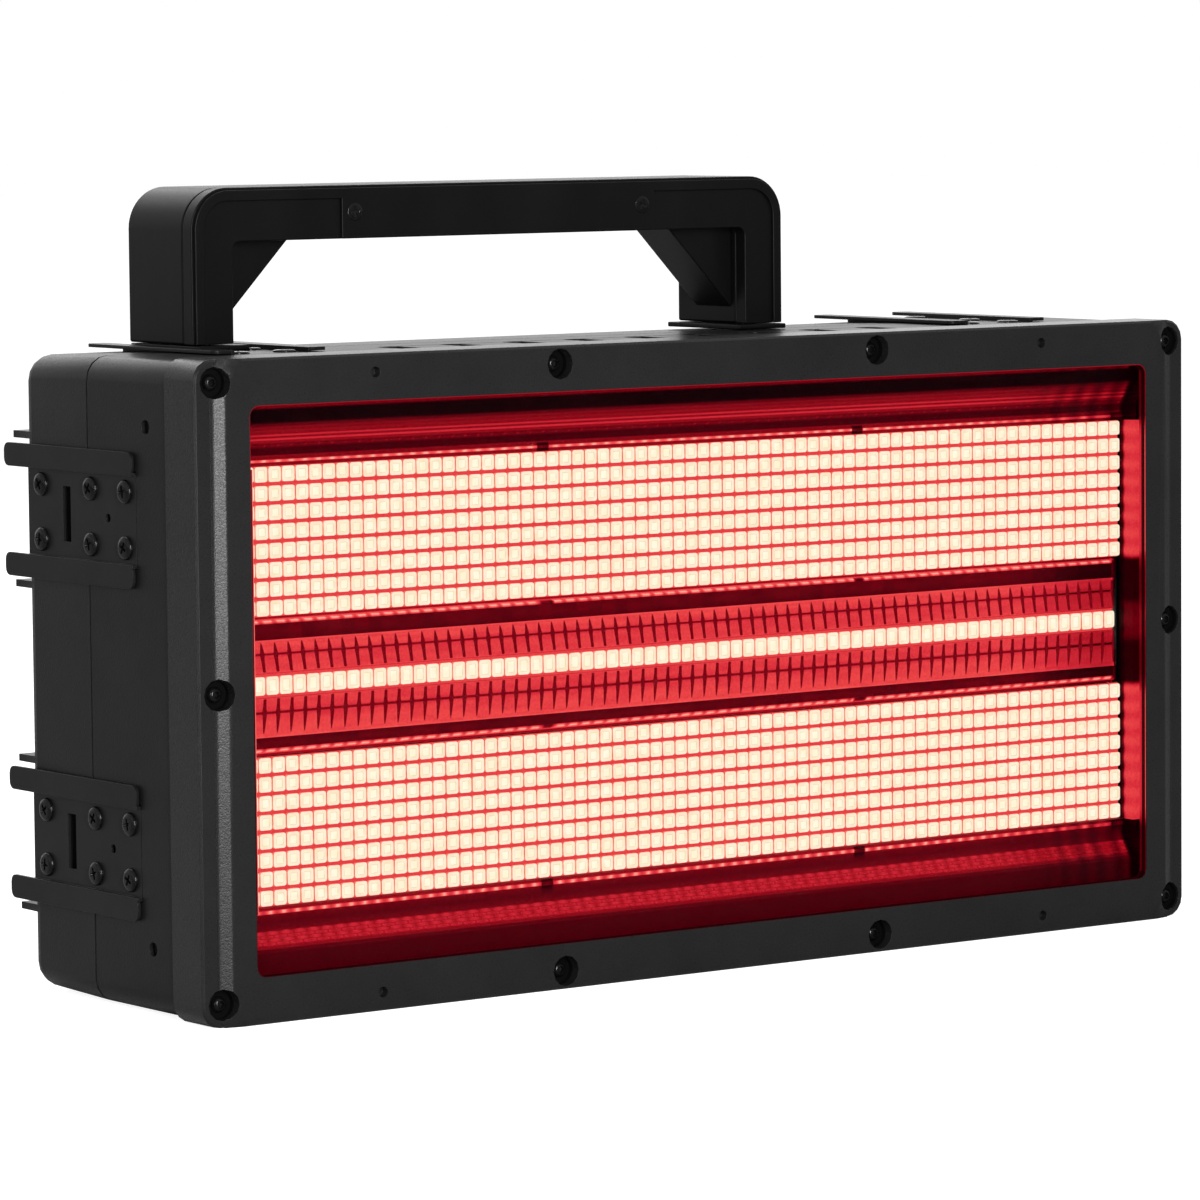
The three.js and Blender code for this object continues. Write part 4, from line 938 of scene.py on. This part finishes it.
def make_painted_window_light():
    """A thin lining sheet in the bezel's window, painted with the red light that falls there, with a painted
    highlight along the left edge.
    """
    form = Form()
    outer_x = WINDOW_HALF_WIDTH - LINING_GAP
    outer_z = WINDOW_HALF_HEIGHT - LINING_GAP
    inner_x = outer_x - LINING_THICKNESS
    inner_z = outer_z - LINING_THICKNESS
    outer = wall_rounded(outer_x, outer_z, WINDOW_CORNER)
    inner = wall_rounded(inner_x, inner_z, WINDOW_CORNER - LINING_THICKNESS)
    rings = []
    for y, level in LINING_PAINTED_LIGHT:
        glow = []
        for px, pz in inner:
            upright = abs(pz - FIELD_MIDDLE) < inner_z - WINDOW_CORNER / 2
            beyond = ease(abs(pz - FIELD_MIDDLE), *WALL_END)
            beside = (0.35 + 0.65 * wall_glow(pz, 1.0)) * (1 - 0.65 * beyond)
            above = y == WINDOW_FRONT and pz > FIELD_MIDDLE
            glow.append(level * (beside if px > 0 and upright else 0.5 if above else 0.12))
        rings.append(form.ring(at_depth(inner, y), glow))
    rim = [0.5 if pz > FIELD_MIDDLE else 0.2 for _, pz in outer]
    rings.append(form.ring(at_depth(outer, WINDOW_FRONT), rim))
    rings.append(form.ring(at_depth(outer, WINDOW_REAR), 0.2))
    form.loop(rings)
    steps = range(-LIT_EDGE_STEPS, LIT_EDGE_STEPS + 1)
    zs = [FIELD_MIDDLE + step * FRAME_SHELF_START / LIT_EDGE_STEPS for step in steps]
    rows = []
    far = [(LIT_EDGE[place][0], 0.1, LIT_EDGE_BACK) for place in (-1, 0)]
    for aside, level, sunk in [(aside, level, LIT_EDGE_SUNK) for aside, level in LIT_EDGE] + far:
        points = [(-WINDOW_HALF_WIDTH + aside * MM, WINDOW_FRONT + sunk, z) for z in zs]
        rows.append(form.ring(points, level))
    form.tube(rows)
    built = form.piece("window_painted_light", "red")


# Screw heads

def cross_radius(angle):
    """The distance from the middle of a cross recess to its edge in one direction."""
    along = max(abs(math.cos(angle)), LEAST_STEP)
    across = max(abs(math.sin(angle)), LEAST_STEP)
    flat = min(CROSS_LENGTH / along, CROSS_WIDTH / across)
    upright = min(CROSS_WIDTH / along, CROSS_LENGTH / across)
    return max(flat, upright)


def hex_radius(angle):
    """The distance from the middle of a hexagon socket to its edge in one direction."""
    sixth = math.pi / 3
    return SOCKET_RADIUS * math.cos(sixth / 2) / math.cos((angle % sixth) - sixth / 2)


# Share of the head's radius and share of its rise, from its foot to where the recess starts
PAN_PROFILE = [(1.0, -0.2), (1.0, 0.35), (0.97, 0.6), (0.88, 0.82), (0.74, 0.95), (0.6, 1.0)]
BUTTON_PROFILE = [
    (0.96, 0.0), (1.0, 0.06), (1.0, 0.2), (0.95, 0.42), (0.86, 0.64), (0.74, 0.82), (0.6, 0.94), (0.5, 1.0),
]


def add_head(form, place, turn, radius, rise, profile, recess, depth):
    """A domed screw head with a recess, laid on a face by a turn matrix."""
    rings = []

    def put(reach, height):
        flat = [Vector((reach(a) * math.cos(a), reach(a) * math.sin(a), height)) for a in HEAD_ANGLES]
        rings.append(form.ring([tuple(turn @ point + place) for point in flat]))

    for share, height in profile:
        put(lambda a, share=share: radius * share, rise * height)
    put(recess, rise)
    put(lambda a: RECESS_TAPER * recess(a), rise - depth)
    for low, high in zip(rings, rings[1:]):
        form.bridge(low, high)
    form.face(reversed(rings[0]))
    form.face(rings[-1])


FACING_FRONT = Matrix.Rotation(math.pi / 2, 3, "X")
FACING_REAR = Matrix.Rotation(-math.pi / 2, 3, "X")


def add_bore_shade(form, place):
    """A black ring round a bezel screw's head, on the floor of its counterbore, that paints the shade of the
    deep bore.
    """
    rings = []
    hole = SHAFT_SHARE * BORE_SHADE_OUTER
    wall = [(BORE_SHADE_OUTER, 0.0), (BORE_SHADE_OUTER, BORE_SHADE_RISE), (BORE_SHADE_INNER, BORE_SHADE_RISE), (BORE_SHADE_INNER, BORE_SHADE_FLOOR)]
    for radius, height in [(hole, 0.0)] + wall + [(hole, BORE_SHADE_FLOOR)]:
        outline = [(place.x + radius * math.cos(a), place.z + radius * math.sin(a)) for a in HEAD_ANGLES]
        rings.append(form.ring(at_depth(outline, place.y - height)))
    form.loop(rings, 1)


def make_bezel_screws():
    """Button heads with a hexagon socket, each turned its own way, in black rings that paint the shade of
    their counterbores.
    """
    form = Form()
    nodes = sorted(node for node in body_nodes if node.startswith("bezel_screw"))
    for number, node in enumerate(nodes):
        low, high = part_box(node)
        middle = (low + high) / 2
        twist = Matrix.Rotation(0.7 * number, 3, "Z")
        place = Vector((middle.x, low.y + BUTTON_RISE, middle.z))
        radius = (high.x - low.x) / 2
        shaft = [(SHAFT_SHARE, (place.y - high.y) / BUTTON_RISE), (SHAFT_SHARE, 0.0)]
        profile = shaft + BUTTON_PROFILE
        add_head(form, place, FACING_FRONT @ twist, radius, BUTTON_RISE, profile, hex_radius, SOCKET_DEPTH)
        add_bore_shade(form, place)
    built = form.piece("bezel_screws", "screw_black", "bore_shade", smooth=HEAD_SMOOTH)
    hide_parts(*nodes)


def make_handle_screws():
    """The two cross-recess screws in the handle's face cover."""
    form = Form()
    nodes = ["handle_screw_left", "handle_screw_right"]
    cover_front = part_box("handle_face")[0].y
    for number, node in enumerate(nodes):
        low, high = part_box(node)
        middle = (low + high) / 2
        twist = Matrix.Rotation(0.12 - 0.5 * number, 3, "Z")
        place = Vector((middle.x + HANDLE_SCREW_SHIFT, cover_front, middle.z))
        radius = (high.x - low.x) / 2
        rise = HANDLE_SCREW_RISE
        add_head(form, place, FACING_FRONT @ twist, radius, rise, PAN_PROFILE, cross_radius, 0.8 * rise)
    built = form.piece("handle_screws", "screw_black", smooth=HEAD_SMOOTH)
    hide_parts(*nodes)


def make_bracket_screws():
    """Six screws on each bracket, three on each side of its slot."""
    for node in sorted(node for node in body_nodes if node.startswith("bracket_")):
        low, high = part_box(node)
        middle = (low + high) / 2
        form = Form()
        rise = TOP_PAN_RISE if "top" in node else PAN_RISE
        for y in PAN_PLACES:
            for aside in (-PAN_ASIDE, PAN_ASIDE):
                if "top" in node:
                    place = Vector((middle.x + aside, y, high.z - LIP_HEIGHT))
                    turn = Matrix.Identity(3)
                else:
                    side = -1 if "left" in node else 1
                    place = Vector((side * SHELL_HALF_WIDTH, y, middle.z + aside))
                    turn = Matrix.Rotation(side * math.pi / 2, 3, "Y")
                twist = Matrix.Rotation(0.4 + 37 * (y + aside), 3, "Z")
                add_head(form, place, turn @ twist, PAN_RADIUS, rise, PAN_PROFILE, cross_radius, 0.6 * rise)
        built = form.piece(node + "_screws", "screw_black", smooth=HEAD_SMOOTH)


def make_rear_screws():
    """The ten screws that hold the rear cover, each turned its own way."""
    form = Form()
    columns = (-REAR_ASIDE, -REAR_INNER, REAR_INNER, REAR_ASIDE)
    places = [(x, REAR_LOW) for x in columns]
    places.append((REAR_ASIDE, REAR_MIDDLE))
    places += [(x, REAR_HIGH) for x in reversed(columns)]
    places.append((-REAR_ASIDE, REAR_MIDDLE))
    for number, (x, z) in enumerate(places):
        turn = FACING_REAR @ Matrix.Rotation(0.9 * number, 3, "Z")
        place = Vector((x, REAR_FACE, z))
        add_head(form, place, turn, PAN_RADIUS, PAN_RISE, PAN_PROFILE, cross_radius, CROSS_DEPTH)
    built = form.piece("rear_cover_screws", "screw_black", smooth=HEAD_SMOOTH)


# Handle

def handle_corners(radius):
    """The rounds of the handle's right and left top corners at one radius."""
    low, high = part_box("handle_frame")
    z = high.z - HANDLE_CORNER
    right = arc(high.x - HANDLE_CORNER, z, radius, 0.0, HANDLE_STEPS)
    left = arc(low.x + HANDLE_CORNER, z, radius, math.pi / 2, HANDLE_STEPS)
    return right, left


def handle_outline(foot):
    """The handle's U outline in X and Z, with round corners outside and inside."""
    low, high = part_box("handle_frame")
    left, right = low.x, high.x
    under = high.z - HANDLE_BAR - INNER_CORNER
    outer_right, outer_left = handle_corners(HANDLE_CORNER)
    inner_left = arc(left + HANDLE_LEG + INNER_CORNER, under, INNER_CORNER, math.pi / 2, HANDLE_STEPS)
    inner_right = arc(right - HANDLE_LEG - INNER_CORNER, under, INNER_CORNER, 0.0, HANDLE_STEPS)
    points = [(right, foot)] + outer_right + outer_left + [(left, foot), (left + HANDLE_LEG, foot)]
    return points + inner_left[::-1] + inner_right[::-1] + [(right - HANDLE_LEG, foot)]


def rim_outline(foot):
    """The raised rim round the cover's two corner recesses, with the full bar between them."""
    low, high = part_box("handle_frame")
    left, right, top = low.x, high.x, high.z
    outer_right, outer_left = handle_corners(HANDLE_CORNER - RIM_STEP)
    inner_right, inner_left = handle_corners(HANDLE_CORNER - RECESS_RIM)
    points = [(right - RIM_STEP, foot)] + outer_right + outer_left
    points += [(left + RIM_STEP, foot), (left + RECESS_RIM, foot)] + inner_left[::-1]
    points += [(GRIP_LEFT, top - RECESS_RIM), (GRIP_LEFT, top - HANDLE_BAR)]
    points += [(GRIP_RIGHT, top - HANDLE_BAR), (GRIP_RIGHT, top - RECESS_RIM)]
    return points + inner_right[::-1] + [(right - RECESS_RIM, foot)]


def prism(form, outline, front, back):
    """A closed block with one outline from front to back."""
    near = form.ring(at_depth(outline, front))
    far = form.ring(at_depth(outline, back))
    form.face(near)
    form.bridge(near, far)
    form.face(reversed(far))


def round_edges(obj, width, segments=3, harden=True):
    edge = obj.modifiers.new("edge", "BEVEL")
    edge.width = width
    edge.segments = segments
    edge.limit_method = "ANGLE"
    edge.angle_limit = BEVEL_ANGLE
    edge.harden_normals = harden


def make_handle():
    """The handle's frame and gussets, and its face cover with a raised rim and corner recesses."""
    low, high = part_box("handle_frame")
    frame_form = Form()
    prism(frame_form, handle_outline(low.z), low.y, high.y)
    frame_piece = frame_form.piece("handle_frame_smooth", "handle_plastic")
    round_edges(frame_piece, HANDLE_EDGE)
    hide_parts("handle_frame")

    gussets = Form()
    under = high.z - HANDLE_BAR + GUSSET_SUNK
    for side, wall in ((1, low.x + HANDLE_LEG - GUSSET_SUNK), (-1, high.x - HANDLE_LEG + GUSSET_SUNK)):
        outline = [
            (wall, under),
            (wall, under - GUSSET_DROP - GUSSET_SUNK),
            (wall + side * (GUSSET_ALONG + GUSSET_SUNK), under),
        ]
        prism(gussets, outline, GUSSET_FRONT, GUSSET_BACK)
    gusset_piece = gussets.piece("handle_gussets", "handle_plastic")
    round_edges(gusset_piece, GUSSET_EDGE, 2)

    near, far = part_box("handle_face")
    cover = Form()
    floor = near.y + RECESS_DEPTH
    prism(cover, handle_outline(near.z), floor, far.y)
    prism(cover, rim_outline(near.z), near.y, floor)
    cover_piece = cover.piece("handle_face_smooth", "handle_plastic")
    round_edges(cover_piece, COVER_EDGE)
    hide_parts("handle_face")


# Seam between the shells

def make_seam():
    """The soft seal between the two shells, nearly level with their outsides."""
    low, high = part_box("housing_gasket")
    half_x = SHELL_HALF_WIDTH - SEAM_SUNK
    top = SHELL_TOP - SEAM_SUNK
    bottom = SHELL_BOTTOM + SEAM_SUNK
    middle = (top + bottom) / 2
    half_z = (top - bottom) / 2
    inside = SEAM_CORNER - SEAM_WIDTH
    outer = rounded(half_x, half_z, SEAM_CORNER, SEAM_STEPS, 0.0, middle)
    inner = rounded(half_x - SEAM_WIDTH, half_z - SEAM_WIDTH, inside, SEAM_STEPS, 0.0, middle)
    front = low.y - SEAM_GRIP
    back = high.y + SEAM_GRIP
    form = Form()
    profile = ((outer, front), (outer, back), (inner, back), (inner, front))
    form.loop([form.ring(at_depth(outline, y)) for outline, y in profile])
    built = form.piece("housing_seam", "seam")
    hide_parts("housing_gasket")


# Finishes of the CAD nodes that stay

def dress(node, slot, width):
    """Gives a CAD node its material and slot, with rounded edges and smooth shading."""
    obj = body_nodes[node]
    obj.data.materials.clear()
    obj.data.materials.append(finishes[slot])
    for polygon in obj.data.polygons:
        polygon.use_smooth = True
    weld = obj.modifiers.new("weld", "WELD")
    weld.merge_threshold = WELD_REACH
    round_edges(obj, width, 2, False)
    normals = obj.modifiers.new("normals", "WEIGHTED_NORMAL")
    normals.mode = "FACE_AREA"
    normals.weight = 80
    normals.keep_sharp = True


# How a node's name starts, its finish, and its rounded edges' width in mm; the first row that fits counts
DRESSING = [
    (("front_housing", "rear_cover"), "housing_paint", 0.5),
    ("front_bezel", "bezel_paint", 0.5),
    ("bracket_", "bracket_paint", 0.25),
    ("foot_", "foot_rubber", 0.4),
    ("handle_foot_", "handle_plastic", 0.4),
    ("lens_gasket", "seal_rubber", 0.1),
    ("lens", "lens_clear", 0.1),
    ("button_", "button_grey", 0.4),
    (("fan_left_guard", "fan_right_guard"), "guard_steel", 0.3),
    ("fan_", "fan_plastic", 0.2),
    (("control_board", "driver_board"), "circuit_green", 0.2),
    ("control_panel", "housing_paint", 0.4),
    ("display_window", "display_glass", 0.3),
    ("data_out_latch", "screw_black", 0.3),
    (("data_in", "data_out"), "data_nickel", 0.3),
    ("power_in", "power_blue", 0.4),
    ("power_out", "power_grey", 0.4),
    ("power_supply", "supply_steel", 0.6),
    ("heat_sink", "bare_aluminium", 0.2),
]


def dress_all():
    for node in body_nodes:
        for start, slot, width in DRESSING:
            if node.startswith(start):
                dress(node, slot, width * MM)
                break


dress_all()
make_led_panel("led_board_top", LED_ROWS)
make_led_panel("led_board_bottom", LED_ROWS)
make_led_panel("led_board_center", 1, CENTER_LED_TALL)
make_inner_frame()
make_reflector("reflector_top", 1, (-0.15, -1.25, -2.3), 15.0, 10.4)
make_reflector("reflector_bottom", -1, (-0.15, -0.6, -1.6), 16.8, 8.7)
make_painted_window_light()
make_bracket_screws()
make_bezel_screws()
make_handle_screws()
make_rear_screws()
make_handle()
make_seam()


# Studio

def make_camera():
    """The camera stands where the photograph's did and looks the same way."""
    ahead = Vector((
        math.sin(CAMERA_YAW) * math.cos(CAMERA_DOWN),
        math.cos(CAMERA_YAW) * math.cos(CAMERA_DOWN),
        -math.sin(CAMERA_DOWN),
    ))
    right = Vector((math.cos(CAMERA_YAW), -math.sin(CAMERA_YAW), 0.0))
    up = right.cross(ahead)
    turn = Matrix((right, up, -ahead)).transposed().to_4x4()
    roll = Matrix.Rotation(CAMERA_ROLL, 4, "Z")
    data = bpy.data.cameras.new("camera")
    data.sensor_width = SENSOR
    data.sensor_fit = "HORIZONTAL"
    data.lens = SENSOR * FOCAL_PIXELS / IMAGE_PIXELS
    data.clip_end = 50.0
    camera = add_object("camera", data)
    camera.matrix_world = Matrix.Translation(CAMERA_PLACE) @ turn @ roll
    bpy.context.scene.camera = camera


# Name, place, aim, width and height in metres, and power in watts
LIGHTS = [
    ("overhead", (0.1, 0.9, 1.9), (0.0, 0.05, 0.2), 1.8, 1.0, 20),
    ("strip", (-0.55, -1.21, 0.36), (-0.2, -0.06, 0.12), 0.16, 0.7, 27),
    ("edge", (-1.6, -1.1, 0.25), (-0.2, 0.0, 0.14), 0.12, 1.2, 8),
    ("left", (-2.4, 0.2, 0.9), (0.0, 0.0, 0.1), 1.2, 1.6, 5),
    ("rear_right", (1.47, 2.02, 0.8), (0.0, 0.0, 0.2), 1.8, 0.9, 4),
    ("rear_left", (-0.9, 2.4, 0.5), (-0.2, 0.0, 0.15), 0.3, 1.4, 2.5),
    ("back", (0.1, 1.9, 1.2), (0.0, 0.05, 0.12), 1.4, 0.8, 8),
]
WORLD_LIGHT = 0.3
FLOOR_REACH = 12.0
FLOOR_SHADE = 0.6
FLOOR_LIGHT = 0.88


def make_lights():
    """Soft area lights, each turned to its aim."""
    for name, place, aim, width, height, power in LIGHTS:
        data = bpy.data.lights.new(name, "AREA")
        data.shape = "RECTANGLE"
        data.size = width
        data.size_y = height
        data.energy = power
        light = add_object(name, data)
        light.location = place
        direction = Vector(aim) - Vector(place)
        light.rotation_euler = direction.to_track_quat("-Z", "Y").to_euler()
        light.visible_camera = False


def make_world():
    """A white background that the camera, mirrors and glass see, over a dimmer plain light."""
    world = bpy.data.worlds.new("studio")
    world.use_nodes = True
    nodes = world.node_tree.nodes
    links = world.node_tree.links
    nodes.clear()
    output = nodes.new("ShaderNodeOutputWorld")
    mix = nodes.new("ShaderNodeMixShader")
    for place, strength in ((1, WORLD_LIGHT), (2, 1.0)):
        white = set_inputs(nodes.new("ShaderNodeBackground"), Color=(1, 1, 1, 1), Strength=strength)
        links.new(white.outputs["Background"], mix.inputs[place])
    path = nodes.new("ShaderNodeLightPath")
    seen = path.outputs["Is Camera Ray"]
    for kind in ("Is Glossy Ray", "Is Transmission Ray"):
        either = nodes.new("ShaderNodeMath")
        either.operation = "MAXIMUM"
        links.new(seen, either.inputs[0])
        links.new(path.outputs[kind], either.inputs[1])
        seen = either.outputs["Value"]
    links.new(seen, mix.inputs["Fac"])
    links.new(mix.outputs["Shader"], output.inputs["Surface"])
    bpy.context.scene.world = world


def make_floor():
    """A wide pale floor that shows white and keeps the object's shadow."""
    shade = (FLOOR_SHADE, FLOOR_SHADE, FLOOR_SHADE, 1)
    finish = Finish("floor_white", 0.1, Roughness=0.9, Base_Color=shade, Emission_Color=(1, 1, 1, 1))
    path = finish.add("ShaderNodeLightPath")
    finish.link(finish.map(path.outputs["Is Camera Ray"], 0.0, 1.0, 0.0, FLOOR_LIGHT), "Emission Strength")
    mesh = bpy.data.meshes.new("floor")
    corners = [(x * FLOOR_REACH, y * FLOOR_REACH, 0.0) for x, y in ((-1, -1), (1, -1), (1, 1), (-1, 1))]
    mesh.from_pydata(corners, [], [(0, 1, 2, 3)])
    mesh.materials.append(finish.material)
    floor = add_object("floor", mesh)


make_camera()
make_world()
make_lights()
make_floor()

bpy.context.scene.view_settings.view_transform = "Standard"
